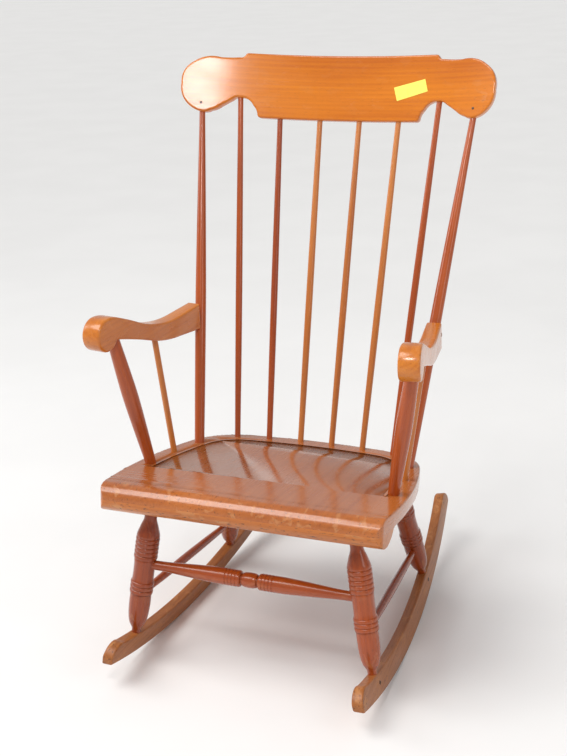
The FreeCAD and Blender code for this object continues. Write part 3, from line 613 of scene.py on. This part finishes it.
def moved_in(outline, distance):
    """The outline with each point moved inwards, across the direction of its neighbours."""
    count = len(outline)
    result = []
    for n, point in enumerate(outline):
        before = (point - outline[n - 1]).normalized()
        after = (outline[(n + 1) % count] - point).normalized()
        across = Vector((-before.y - after.y, before.x + after.x)).normalized()
        spread = max(0.45, across.dot(Vector((-before.y, before.x))))
        result.append(point + across * distance / spread)
    return result


def board(outline, thickness, edge, rows=4):
    """A slab between z = 0 and its thickness, with its edges rounded. The outline runs anticlockwise."""
    bm = bmesh.new()
    levels = []
    for row in range(rows + 1):
        turn = math.pi / 2 * row / rows
        levels.append((edge * (1 - math.sin(turn)), edge * (1 - math.cos(turn))))
    upper = [(inset, thickness - height) for inset, height in reversed(levels)]
    loops = []
    for inset, height in [(edge + 0.8, 0.0)] + levels + upper + [(edge + 0.8, thickness)]:
        loops.append([bm.verts.new((p.x, p.y, height)) for p in moved_in(outline, inset)])
    count = len(outline)
    for low, high in zip(loops, loops[1:]):
        for n in range(count):
            bm.faces.new((low[n], low[(n + 1) % count], high[(n + 1) % count], high[n]))
    bm.faces.new(list(reversed(loops[0])))
    bm.faces.new(loops[-1])
    return bm


def arc_points(start, middle, end, step=3.0):
    """Points along the arc from start through middle to end, without its start."""
    start, middle, end = Vector(start), Vector(middle), Vector(end)
    a, b = middle - start, end - start
    cross = 2 * (a.x * b.y - a.y * b.x)
    centre = start + Vector((b.y * a.dot(a) - a.y * b.dot(b), a.x * b.dot(b) - b.x * a.dot(a))) / cross
    radius = (start - centre).length
    low = math.atan2(start.y - centre.y, start.x - centre.x)
    high = math.atan2(end.y - centre.y, end.x - centre.x)
    if cross > 0:
        high += math.tau if high < low else 0
    else:
        high -= math.tau if high > low else 0
    rows = max(2, round(abs(high - low) * radius / step))
    turns = [low + (high - low) * (row + 1) / rows for row in range(rows)]
    return [centre + radius * Vector((math.cos(turn), math.sin(turn))) for turn in turns]


def straight(start, end, step=6.0):
    start, end = Vector(start), Vector(end)
    rows = max(1, round((end - start).length / step))
    return [start.lerp(end, (row + 1) / rows) for row in range(rows)]


def path(start, *legs):
    """An outline from its start: each leg is (end,) for a straight run or (middle, end) for an arc."""
    points = [Vector(start)]
    for leg in legs:
        here = points[-1]
        points += straight(here, leg[0]) if len(leg) == 1 else arc_points(here, *leg)
    return points


# %% [markdown]
# ## Crest rail
#
# The crest rail is sawn with a step at each end of its top edge, a round lobe at each end, and a scoop
# beside each lobe. The maker then steamed it and bent it to a shallow bow, which holds the sitter's
# back. Here the flat board is cut into strips first, because only a board with points across its
# faces can bend, and then each point is laid onto the bow.

# %% Saw and bend the crest rail
right_half = path(
    (0, 0),
    ((156, 0),),
    ((160.5, 1.2), (163, 5)),
    ((165.5, 14), (172, 22.5)),
    ((184, 34.5), (199, 37)),
    ((208, 36.6), (215, 32)),
    ((226, 25), (236, 18.5)),
    ((245, 12.2), (254, 9)),
    ((262, 5.4), (271, 5)),
    ((299.5, 20.5), (311, 57)),
    ((306.5, 84), (291, 101)),
    ((272, 111.5), (241, 113)),
    ((220, 113.6), (205, 115)),
    ((198, 116.2), (194.5, 119.5)),
    ((192.6, 122.6), (188, 124)),
    ((0, 124),),
)
left_half = [Vector((-point.x, point.y)) for point in reversed(right_half[1:-1])]
CREST_EDGE = 3.6
STRIP_WIDTH = 10.4
bm = board(right_half + left_half, CREST_THICK, CREST_EDGE)
for strip in range(-30, 31):
    everything = bm.verts[:] + bm.edges[:] + bm.faces[:]
    bmesh.ops.bisect_plane(bm, geom=everything, plane_co=(STRIP_WIDTH * strip, 0, 0), plane_no=(1, 0, 0))
mesh = mesh_of(bm, "crest_rail")
write_wood(mesh, "x", 41)
write_wear(mesh, lambda point: 0.1 + 0.25 * max(0.0, abs(point.x) - 250) / 60)
for vertex in mesh.vertices:
    side, height, depth = vertex.co
    vertex.co = (side, math.sqrt((CREST_BOW + depth) ** 2 - side**2) - CREST_BOW, height)
turned_outwards(mesh)
finish_piece("crest_rail", mesh, CREST, FINISH["honey"], replaces="crest_rail")
print("crest rail:", len(mesh.polygons), "faces")

# %% [markdown]
# ## Arms
#
# Each arm is sawn from a thick board. It starts in a round scroll, dips, and rises to its rear end,
# which is hollowed to fit round the back post. Seen from above it gets thinner to the back and turns
# out at the front. The hollow is cut as a maker would cut it, with a round cutter along the post.

# %% A round cutter, and the cut


def cutter(start, end, radius, sides=64):
    bm = bmesh.new()
    bmesh.ops.create_cone(
        bm, cap_ends=True, segments=sides, radius1=radius, radius2=radius, depth=(end - start).length
    )
    middle = axis_place(start, end) @ Matrix.Translation((0, 0, (end - start).length / 2))
    bmesh.ops.transform(bm, matrix=middle, verts=bm.verts)
    return mesh_of(bm, "cutter")


def carved(mesh, tool_mesh, operation="DIFFERENCE"):
    """The mesh with the tool's shape taken out of it, or only what lies in both."""
    block = bpy.data.objects.new("block", mesh)
    tool = bpy.data.objects.new("tool", tool_mesh)
    for item in (block, tool):
        bpy.context.scene.collection.objects.link(item)
    modifier = block.modifiers.new("carve", "BOOLEAN")
    modifier.operation, modifier.object, modifier.solver = operation, tool, "EXACT"
    result = bpy.data.meshes.new_from_object(block.evaluated_get(bpy.context.evaluated_depsgraph_get()))
    for item in (block, tool):
        bpy.data.objects.remove(item)
    return result


# %% Saw the arms
side_view = path(
    (0, 30),
    ((-21.2, 21.2), (-30, 0)),
    ((-21.2, -21.2), (0, -30)),
    ((16.5, -25), (25.2, -16.2)),
    ((29, -18), (33, -19)),
    ((82, -36), (140, -59)),
    ((183, -72), (225, -79)),
    ((300, -89),),
    ((300, -38),),
    ((222, -39),),
    ((156, -30), (98, -8)),
    ((66, 8), (36, 21.8)),
    ((18, 28), (0, 30)),
)[:-1]
ARM_FRONT = 37
ARM_TAPER = 8 / 296
ARM_EDGE = 4.2
POST_SINK = 4.75
POST_HOLLOW = 11.1
to_arm = ARM.inverted()
post_low, post_high = to_arm @ POST_FOOT, to_arm @ POST_HEAD


def post_at(height):
    """How far back the middle of the back post is, at a height of the arm's own layout."""
    share = (height - post_low.z) / (post_high.z - post_low.z)
    return post_low.y + share * (post_high.y - post_low.y)


def beyond(start, end):
    """A box that starts at the arm's end line, which leans with the post."""
    bm = bmesh.new()
    corners = []
    for height in (start, end):
        line = post_at(height) - POST_SINK
        corners += [(-60, line, height), (60, line, height)]
        corners += [(60, line + 200, height), (-60, line + 200, height)]
    points = [bm.verts.new(corner) for corner in corners]
    for face in ((3, 2, 1, 0), (4, 5, 6, 7), (0, 1, 5, 4), (1, 2, 6, 5), (2, 3, 7, 6), (3, 0, 4, 7)):
        bm.faces.new([points[n] for n in face])
    return mesh_of(bm, "beyond")


for side, mirror in (("right", 1), ("left", -1)):
    mesh = mesh_of(board(side_view, ARM_FRONT, ARM_EDGE), "arm")
    for vertex in mesh.vertices:
        along, up, across = vertex.co
        width = 1 - ARM_TAPER * max(0.0, along + 30) / ARM_FRONT
        vertex.co = ((across - ARM_FRONT / 2) * width, along, up)
    mesh = carved(mesh, beyond(-160, 40))
    mesh = carved(mesh, cutter(post_low, post_high, POST_HOLLOW))
    write_wood(mesh, "y", 43 + mirror)
    write_wear(mesh, lambda point: 0.25 if point.y < 40 else 0.1)
    mesh = on_side(mesh, ARM, mirror)
    finish_piece(f"arm_{side}", mesh, Matrix(), FINISH["arm"], replaces=f"arm_{side}")
    print(f"arm_{side}:", len(mesh.polygons), "faces")

# %% [markdown]
# ## Seat
#
# The seat is a thick plank with a curved outline. Its front edge rolls over and down, and a strip glued
# beneath carries the roll on. A line is scribed round the top a little inside the edge. The plank is
# cut out of its outline here, and then shaped by the roll's own profile, as a moulding plane would.

# %% The seat's outline and its roll, as lists of points
SEAT_THICK = 27
SEAT_DEPTH = 400
SEAT_HALF_WIDTH = 263
SEAT_ARC = 900
CORNER_ARC = 115
CORNER_TURN = math.radians(75)
ROLL_RADIUS = 26
FRONT_EDGE = -28
FRONT_CORNER = 15


def seat_outline(inset):
    """The plank's outline, moved in, from the right front corner round the back to the left one."""
    side_reach = (CORNER_ARC - SEAT_ARC) * math.sin(CORNER_TURN) + SEAT_ARC
    rear_turn = math.asin((SEAT_HALF_WIDTH - side_reach) / (SEAT_ARC - CORNER_ARC))
    rear = Vector((0, SEAT_DEPTH - SEAT_ARC))
    corner = Vector((math.sin(rear_turn), math.cos(rear_turn))) * (SEAT_ARC - CORNER_ARC) + rear
    flank = corner + (CORNER_ARC - SEAT_ARC) * Vector((math.sin(CORNER_TURN), math.cos(CORNER_TURN)))

    def on(centre, radius, turn):
        return centre + (radius - inset) * Vector((math.sin(turn), math.cos(turn)))

    front = FRONT_EDGE + inset
    front_turn = math.pi / 2 + math.asin((flank.y - front) / (SEAT_ARC - inset))
    points = [on(flank, SEAT_ARC, front_turn + (CORNER_TURN - front_turn) * n / 60) for n in range(60)]
    points += [on(corner, CORNER_ARC, CORNER_TURN + (rear_turn - CORNER_TURN) * n / 36) for n in range(36)]
    points += [on(rear, SEAT_ARC, rear_turn * (1 - n / 40)) for n in range(41)]
    kept = [point for point in points if point.y > front + FRONT_CORNER]
    start = Vector((kept[0].x, front))
    turns = [math.pi / 2 * n / 8 for n in range(9)]
    rounded = [start + FRONT_CORNER * Vector((math.sin(turn) - 1, 1 - math.cos(turn))) for turn in turns]
    points = rounded + kept
    left = [Vector((-point.x, point.y)) for point in reversed(points[:-1])]
    return points + left


def prism(outline, low, high, across="z"):
    """A plain prism of an outline: upright, or lying along the chair's width for a side profile."""
    bm = bmesh.new()
    loops = []
    for level in (low, high):
        if across == "z":
            loops.append([bm.verts.new((p.x, p.y, level)) for p in outline])
        else:
            loops.append([bm.verts.new((level, p.x, p.y)) for p in outline])
    count = len(outline)
    for n in range(count):
        bm.faces.new((loops[0][n], loops[0][(n + 1) % count], loops[1][(n + 1) % count], loops[1][n]))
    bm.faces.new(list(reversed(loops[0])))
    bm.faces.new(loops[1])
    return bm


# %% Shape the plank and the strip, and round their edges
BOARD_FACE = 3000  # square millimetres; a flat larger than this gets a narrow rim
RIM = 0.9


def round_over(bm, wanted, size):
    """The sharp edges that are wanted, rounded over, with a narrow rim inside the big flats beside them."""
    edges = []
    for edge in bm.edges:
        if len(edge.link_faces) == 2 and edge.calc_face_angle() > math.radians(50):
            if all(wanted(vertex.co) for vertex in edge.verts):
                edges.append(edge)
    shape = {"offset": size, "segments": 3, "profile": 0.5}
    bmesh.ops.bevel(bm, geom=edges, affect="EDGES", clamp_overlap=False, **shape)
    flats = [face for face in bm.faces if face.calc_area() > BOARD_FACE]
    bmesh.ops.inset_individual(bm, faces=flats, thickness=RIM)
    return len(edges)


def planed(outline_levels, profile, wanted, size):
    """A sawn blank, cut to the roll's own side profile, with its edges rounded over."""
    blank = mesh_of(prism(seat_outline(0), *outline_levels), "blank")
    mesh = carved(blank, mesh_of(prism(profile, -300, 300, "x"), "profile"), "INTERSECT")
    bm = bmesh.new()
    bm.from_mesh(mesh)
    bmesh.ops.remove_doubles(bm, verts=bm.verts, dist=0.002)
    print("edges rounded over:", round_over(bm, wanted, size))
    return mesh_of(bm, "planed")


roll_centre = FRONT_EDGE + ROLL_RADIUS
slant = ROLL_RADIUS * math.sqrt(0.5)
plank_profile = path(
    (FRONT_EDGE, -SEAT_THICK),
    ((430, -SEAT_THICK),),
    ((430, 0),),
    ((roll_centre, 0),),
    ((roll_centre - slant, -ROLL_RADIUS + slant), (FRONT_EDGE, -ROLL_RADIUS)),
)
strip_profile = path(
    (FRONT_EDGE, -SEAT_THICK),
    ((roll_centre - slant, -ROLL_RADIUS - slant), (roll_centre, -2 * ROLL_RADIUS)),
    ((roll_centre + 6, -2 * ROLL_RADIUS),),
    ((21, -43.75), (34, -30)),
    ((34, -SEAT_THICK),),
)
plank = planed(
    (-SEAT_THICK, 0), plank_profile, lambda at: at.y > -22 and (at.z > -SEAT_THICK + 1 or at.y > 38), 2.6
)
strip = planed((-60, -SEAT_THICK), strip_profile, lambda at: at.z < -SEAT_THICK - 2, 1.6)
write_wood(strip, "x", 51)
write_wear(strip, lambda at: 0.95 if at.z < -34 else 0.6)
finish_piece("seat_front_roll", strip, SEAT, FINISH["front_roll"], replaces="seat_front_roll")

# %% Scribe the line round the seat's top
LINE_INSET = 40
LINE_HALF_WIDTH = 2.4
LINE_FRONT = 106


def scribe():
    """A three-cornered bar that follows the line; taking it away leaves a small groove."""
    bm = bmesh.new()
    rows = []
    for aside, level in ((-LINE_HALF_WIDTH, 1.0), (0, -1.5), (LINE_HALF_WIDTH, 1.0)):
        line = [point for point in seat_outline(LINE_INSET) if point.y > LINE_FRONT]
        line = moved_in(line, aside)[1:-1]
        rows.append([bm.verts.new((point.x, point.y, level)) for point in line])
    for first, second in ((0, 1), (1, 2), (2, 0)):
        for n in range(len(rows[0]) - 1):
            bm.faces.new((rows[first][n], rows[first][n + 1], rows[second][n + 1], rows[second][n]))
    bm.faces.new([row[0] for row in rows])
    bm.faces.new([row[-1] for row in reversed(rows)])
    return mesh_of(bm, "scribe")


plank = carved(plank, scribe())
write_wood(plank, "y", 50)
write_wear(plank, lambda at: 0.7 if at.y < 4 else 0.06)
finish_piece("seat_plank", plank, SEAT, FINISH["seat"], replaces="seat_plank")
print("seat plank:", len(plank.polygons), "faces")

# %% [markdown]
# ## Rockers
#
# Each rocker is a board sawn to a long curve, with a rounded toe and heel. It leans out with the legs
# and toes in to the back, yet its underside lies flat on the floor all along. So the underside here is
# worked out point by point: it is where the leaning board meets the big drum that the chair rolls on.
# The board is built as cross-sections with rounded corners, one after another from toe to heel.

# %% Shape the rockers
ROLL_CIRCLE = 1092
ROCKER_HEIGHT = 38
ROCKER_HALF = 10
TOE, HEEL = -359.5, 396.5
TOE_RUN, HEEL_RUN = 44, 40
ROCKER = Matrix.Translation((rocker_side(257.5, 0), 257.5, 0)) @ turned("Z", 3.5) @ turned("Y", -11)


def circle_height(radius, along):
    return ROLL_CIRCLE - math.sqrt(radius**2 - along**2)


def top_line():
    """The rocker's upper line, from the toe over the long curve to the heel."""
    inner = ROLL_CIRCLE - ROCKER_HEIGHT
    toe_height = circle_height(ROLL_CIRCLE, TOE) + 14
    heel_height = circle_height(ROLL_CIRCLE, HEEL) + 9
    toe_end = Vector((TOE + TOE_RUN, circle_height(inner, TOE + TOE_RUN)))
    heel_end = Vector((HEEL - HEEL_RUN, circle_height(inner, HEEL - HEEL_RUN)))
    toe_bend = Vector((TOE + TOE_RUN / 5, (toe_height + toe_end.y) / 2 + 5))
    heel_bend = Vector((HEEL - HEEL_RUN / 4, (heel_height + heel_end.y) / 2 + 4))
    line = [Vector((TOE, toe_height))] + arc_points((TOE, toe_height), toe_bend, toe_end)
    line += arc_points(toe_end, (0, ROCKER_HEIGHT), heel_end, 8)
    return line + arc_points(heel_end, heel_bend, (HEEL, heel_height))


def underside(across, along):
    """How high up the board, in its own layout, the drum's surface is."""
    base = ROCKER @ Vector((across, along, 0)) - ARC_CENTRE
    rise = ROCKER.to_3x3() @ Vector((0, 0, 1))
    a = rise.y**2 + rise.z**2
    b = base.y * rise.y + base.z * rise.z
    c = base.y**2 + base.z**2 - ROLL_CIRCLE**2
    return (-b - math.sqrt(b * b - a * c)) / a


def rocker_section(along, top, inset, edge=3.0):
    """One cross-section, from the underside's middle round to it again."""
    half = ROCKER_HALF - inset
    edge = min(edge, 0.4 * (top - underside(0, along)), half)
    points = []
    for row in range(5):
        turn = math.pi / 2 * row / 4
        points.append((half - edge + edge * math.sin(turn), edge * (1 - math.cos(turn)), False))
    for row in range(5):
        turn = math.pi / 2 * row / 4
        points.append((half - edge + edge * math.cos(turn), edge * (1 - math.sin(turn)), True))
    points.insert(0, (half - edge - 0.6, 0, False))
    points.append((half - edge - 0.6, 0, True))
    points += [(-across, gap, upper) for across, gap, upper in reversed(points)]
    section = []
    for across, gap, upper in points:
        height = top - inset - gap if upper else underside(across, along) + inset + gap
        section.append(Vector((across, along, height)))
    return section


NOSE_ROUND = 2.5
NOSE_TURNS = [math.pi / 2 * row / 4 for row in range(4)]
NOSE = [(NOSE_ROUND * (1 - math.cos(turn)), NOSE_ROUND * (1 - math.sin(turn))) for turn in NOSE_TURNS]


def rocker_board():
    """Cross-sections from toe to heel, each drawn in a little near the two ends, and the skin over them."""
    line = top_line()

    def top_at(along):
        for low, high in zip(line, line[1:]):
            if low.x <= along <= high.x:
                return low.y + (high.y - low.y) * (along - low.x) / (high.x - low.x)
        return line[-1].y

    toe = [(TOE + back, top_at(TOE + back), inset) for back, inset in NOSE]
    heel = [(HEEL - back, top_at(HEEL - back), inset) for back, inset in reversed(NOSE)]
    inner = (TOE + NOSE_ROUND + 0.1, HEEL - NOSE_ROUND - 0.1)
    body = [(point.x, point.y, 0.0) for point in line if inner[0] < point.x < inner[1]]
    bm = bmesh.new()
    rings = [[bm.verts.new(point) for point in rocker_section(*station)] for station in toe + body + heel]
    count = len(rings[0])
    for low, high in zip(rings, rings[1:]):
        for n in range(count):
            bm.faces.new((low[n], low[(n + 1) % count], high[(n + 1) % count], high[n]))
    bm.faces.new(list(reversed(rings[0])))
    bm.faces.new(rings[-1])
    return mesh_of(bm, "rocker")


for side, mirror in (("right", 1), ("left", -1)):
    mesh = rocker_board()
    write_wood(mesh, "y", 60 + mirror)
    write_wear(mesh, lambda at: 0.45 + 0.4 * (abs(at.y) > 330))
    mesh = on_side(mesh, ROCKER, mirror)
    finish_piece(f"rocker_{side}", mesh, Matrix(), FINISH["rocker"], replaces=f"rocker_{side}")
print("rocker:", len(mesh.polygons), "faces")

# %% [markdown]
# ## Pins and plugs
#
# Small fasteners hold the chair: a pin through each rocker into the leg's foot, a pin through the crest
# rail into each back post, and a wooden plug over the screw in each arm's rear end. One small Geometry
# Nodes tree sets a low dome on every given point, turned to face away from the wood.

# %% Build the pin tree and set the pins


def build_pins():
    inputs = (("Places", "Geometry"), ("Radius", "Float"), ("Dome", "Float"), ("Finish", "Material"))
    tree, into = node_tree("pin_heads", inputs, "Pins")
    away = add(tree, "GeometryNodeInputNamedAttribute", {"Name": "away"}, data_type="FLOAT_VECTOR").outputs[0]
    facing = add(tree, "FunctionNodeAlignRotationToVector", {"Vector": away}, axis="Z").outputs[0]
    ball = {"Segments": 28, "Rings": 14, "Radius": into["Radius"]}
    ball = add(tree, "GeometryNodeMeshUVSphere", ball).outputs["Mesh"]
    flat = add(tree, "ShaderNodeCombineXYZ", {0: 1.0, 1: 1.0, 2: into["Dome"]}).outputs[0]
    head = add(tree, "GeometryNodeTransform", {"Geometry": ball, "Scale": flat}).outputs[0]
    places = add(tree, "GeometryNodeMeshToPoints", {"Mesh": into["Places"]}).outputs[0]
    pins = {"Points": places, "Instance": head, "Rotation": facing}
    pins = add(tree, "GeometryNodeInstanceOnPoints", pins).outputs[0]
    plain = add(tree, "GeometryNodeRealizeInstances", {"Geometry": pins}).outputs[0]
    here = add(tree, "GeometryNodeInputPosition").outputs[0]
    metres = add(tree, "ShaderNodeVectorMath", {0: here, 3: 0.001}, operation="SCALE").outputs[0]
    store = {"Geometry": plain, "Name": "wood_at", "Value": metres}
    stored = add(tree, "GeometryNodeStoreNamedAttribute", store, data_type="FLOAT_VECTOR").outputs[0]
    made = add(tree, "GeometryNodeSetMaterial", {"Geometry": stored, "Material": into["Finish"]}).outputs[0]
    tree.links.new(made, add(tree, "NodeGroupOutput").inputs[0])
    return tree


PINS = build_pins()


def set_pins(name, places, radius, dome, material):
    """Pins at places, each a point of the layout and the direction that its head faces."""
    both = places + [(other_side(at), other_side(away)) for at, away in places]
    blank = bpy.data.meshes.new(name)
    blank.from_pydata([at for at, away in both], [], [])
    directions = blank.attributes.new("away", "FLOAT_VECTOR", "POINT")
    directions.data.foreach_set("vector", [number for at, away in both for number in away])
    mesh = made_by(PINS, blank, {"Radius": radius, "Dome": dome, "Finish": material})
    return finish_piece(name, mesh, Matrix(), material)


def worn_steel():
    """Old steel pins: dull, brown in patches, with a little pitting."""
    material, tree, surface, at = new_finish("worn_steel")
    patches = ramp(tree, noise(tree, at, (700, 700, 700), 4), 0.4, 0.65)
    colour = mixed(tree, patches, (0.16, 0.11, 0.08, 1), (0.05, 0.024, 0.013, 1))
    tree.links.new(colour, surface.inputs["Base Color"])
    tree.links.new(ramp(tree, patches, 0, 1, 0.35, 0.7), surface.inputs["Roughness"])
    surface.inputs["Metallic"].default_value = 0.75
    roughen(tree, surface, noise(tree, at, (2200, 2200, 2200), 3), 0.4, 0.0003)
    return material


STEEL = worn_steel()
outward = ROCKER.to_3x3() @ Vector((1, 0, 0))
rocker_pins = []
for back in (0, 392):
    foot = ROCKER.inverted() @ leg_foot(back)
    rocker_pins.append((ROCKER @ Vector((ROCKER_HALF, foot.y, foot.z - 19)), outward))
set_pins("rocker_pins", rocker_pins, 3.8, 0.3, STEEL)


def crest_point(side, height, depth=0.0):
    """A point on the crest rail's face, and the direction away from it."""
    bow = math.sqrt((CREST_BOW + depth) ** 2 - side**2) - CREST_BOW
    away = Vector((-side, -(bow + CREST_BOW), 0)).normalized()
    return CREST @ Vector((side, bow, height)), CREST.to_3x3() @ away


set_pins("crest_pins", [crest_point(271, 22)], 2.6, 0.22, STEEL)
arm_rear = post_at(-60) - POST_SINK - 16
plug_at = ARM @ Vector((0.5 * ARM_FRONT * (1 - ARM_TAPER * (arm_rear + 30) / ARM_FRONT), arm_rear, -60))
plug_away = ARM.to_3x3() @ Vector((1, 0, 0))
set_pins("arm_plugs", [(plug_at, plug_away)], 4.2, 0.16, FINISH["plug"])

# %% [markdown]
# ## A blank paper sticker
#
# A small yellow paper sticker is on the crest rail's right end. It is left blank here. It is a thin
# sheet that follows the rail's bow, with a fine fibre in the paper and a little soil in patches.

# %% Stick it on
STICKER_CORNERS = ((108, 63.7), (170, 78.8), (177, 56), (116, 38.6))


def yellow_paper():
    """Bright paper with fine fibres, a little soiled."""
    material, tree, surface, at = new_finish("yellow_paper")
    fibre = ramp(tree, noise(tree, at, (900, 900, 300), 5), 0.35, 0.7)
    soil = ramp(tree, noise(tree, at, (70, 70, 70), 3), 0.5, 0.75)
    colour = mixed(tree, fibre, (0.95, 0.93, 0.16, 1), (0.90, 0.86, 0.12, 1))
    colour = mixed(tree, maths(tree, "MULTIPLY", soil, 0.25), colour, (0.70, 0.58, 0.10, 1))
    tree.links.new(colour, surface.inputs["Base Color"])
    tree.links.new(ramp(tree, fibre, 0, 1, 0.6, 0.8), surface.inputs["Roughness"])
    roughen(tree, surface, fibre, 0.25, 0.0002)
    return material


bm = bmesh.new()
sheets = []
corners = [Vector(corner) for corner in STICKER_CORNERS]
for depth in (-0.35, 0.2):
    sheet = []
    for row in range(7):
        left, right = corners[0].lerp(corners[3], row / 6), corners[1].lerp(corners[2], row / 6)
        across = [left.lerp(right, column / 18) for column in range(19)]
        sheet.append([bm.verts.new(CREST.inverted() @ crest_point(at.x, at.y, depth)[0]) for at in across])
    sheets.append(sheet)
for sheet in sheets:
    for row in range(6):
        for column in range(18):
            corner = (row, column), (row, column + 1), (row + 1, column + 1), (row + 1, column)
            bm.faces.new([sheet[r][c] for r, c in corner])
rim = [(0, c) for c in range(19)] + [(r, 18) for r in range(1, 7)] + [(6, c) for c in range(17, -1, -1)]
rim += [(r, 0) for r in range(5, 0, -1)]
for (r, c), (r2, c2) in zip(rim, rim[1:] + rim[:1]):
    bm.faces.new((sheets[0][r][c], sheets[0][r2][c2], sheets[1][r2][c2], sheets[1][r][c]))
sticker = mesh_of(bm, "crest_sticker")
write_wood(sticker, "x", 70)
finish_piece("crest_sticker", sticker, CREST, yellow_paper())

# %% [markdown]
# ## Studio
#
# The chair stands on a pale floor in soft light. A wide soft sun from the left gives the shadow, two
# softboxes draw highlights along the turnings, and an even sky fills the rest. One small light stands
# just where the crest rail's left lobe mirrors it to the camera, as the lamp did in the photograph.

# %% Floor


def pale_floor():
    material = bpy.data.materials.new("pale_floor")
    material.use_nodes = True
    tree = material.node_tree
    surface = tree.nodes["Principled BSDF"]
    at = add(tree, "ShaderNodeTexCoord").outputs["Object"]
    tint = ramp(tree, noise(tree, at, (3, 3, 3), 3), 0.3, 0.7)
    colour = mixed(tree, tint, (0.86, 0.855, 0.85, 1), (0.84, 0.835, 0.83, 1))
    tree.links.new(colour, surface.inputs["Base Color"])
    surface.inputs["Roughness"].default_value = 0.8
    return material


mesh = bpy.data.meshes.new("studio_floor")
mesh.from_pydata([(-40, -40, 0), (40, -40, 0), (40, 40, 0), (-40, 40, 0)], [], [(0, 1, 2, 3)])
mesh.materials.append(pale_floor())
floor = bpy.data.objects.new("studio_floor", mesh)
bpy.context.scene.collection.objects.link(floor)

# %% Lights
CAMERA_AT = Vector((815.5, -1797.8, 1387.5))



def softbox(name, place, aim, size, power):
    light = bpy.data.lights.new(name, "AREA")
    light.shape, light.energy = "RECTANGLE", power
    light.size, light.size_y = size
    lamp = bpy.data.objects.new(name, light)
    lamp.location = place
    lamp.rotation_euler = (Vector(aim) - Vector(place)).to_track_quat("-Z", "Y").to_euler()
    bpy.context.scene.collection.objects.link(lamp)


sun = bpy.data.lights.new("soft_sun", "SUN")
sun.energy, sun.angle, sun.color = 1.7, math.radians(35), (1, 0.985, 0.96)
sun_lamp = bpy.data.objects.new("soft_sun", sun)
sun_lamp.rotation_euler = Vector((0.45, 0.35, -1)).to_track_quat("-Z", "Y").to_euler()
bpy.context.scene.collection.objects.link(sun_lamp)
softbox("left_softbox", (-2.3, -0.5, 1.7), (0, 0, 0.6), (1.1, 1.1), 16)
softbox("right_softbox", (2.1, -0.9, 1.5), (0, 0, 0.5), (0.7, 1.4), 7)

lobe, lobe_away = crest_point(-285, 62)
lobe, lobe_away = TO_FRAME @ lobe, (TO_FRAME.to_3x3() @ lobe_away).normalized()
sight = (TO_FRAME @ CAMERA_AT - lobe).normalized()
glare_at = lobe + 2.0 * (2 * sight.dot(lobe_away) * lobe_away - sight)
print("glare light at", [round(number, 2) for number in glare_at])
softbox("lobe_glare", glare_at, lobe, (0.34, 0.34), 9)

world = bpy.data.worlds.new("pale_sky")
world.use_nodes = True
sky = world.node_tree
sky.nodes["Background"].inputs["Color"].default_value = (0.93, 0.94, 0.95, 1)
sky.nodes["Background"].inputs["Strength"].default_value = 0.5
seen = add(sky, "ShaderNodeBackground", {"Color": (0.93, 0.93, 0.93, 1), "Strength": 1.0}).outputs[0]
ray = add(sky, "ShaderNodeLightPath").outputs["Is Camera Ray"]
blend = add(sky, "ShaderNodeMixShader", {0: ray, 1: sky.nodes["Background"].outputs[0], 2: seen}).outputs[0]
sky.links.new(blend, sky.nodes["World Output"].inputs["Surface"])
bpy.context.scene.world = world
bpy.context.scene.view_settings.view_transform = "Standard"

# %% [markdown]
# ## Camera
#
# The photograph was taken from in front, a little to the viewer's right and from above the crest rail.
# The camera stands where a fit of the chair's own lines put it.

# %% Set the camera
view = bpy.data.cameras.new("photo_view")
view.lens, view.sensor_width, view.sensor_fit = 61.9, 36, "AUTO"
camera = bpy.data.objects.new("photo_view", view)
aim = Matrix.Rotation(REST_ROLL, 4, "X") @ turned("Z", 21.97) @ turned("X", -21.96)
aim = aim @ turned("Y", 2.854) @ turned("X", 90)
camera.matrix_world = Matrix.Translation(TO_FRAME @ CAMERA_AT) @ aim
bpy.context.scene.collection.objects.link(camera)
bpy.context.scene.camera = camera
print("camera at", [round(number, 3) for number in camera.location])
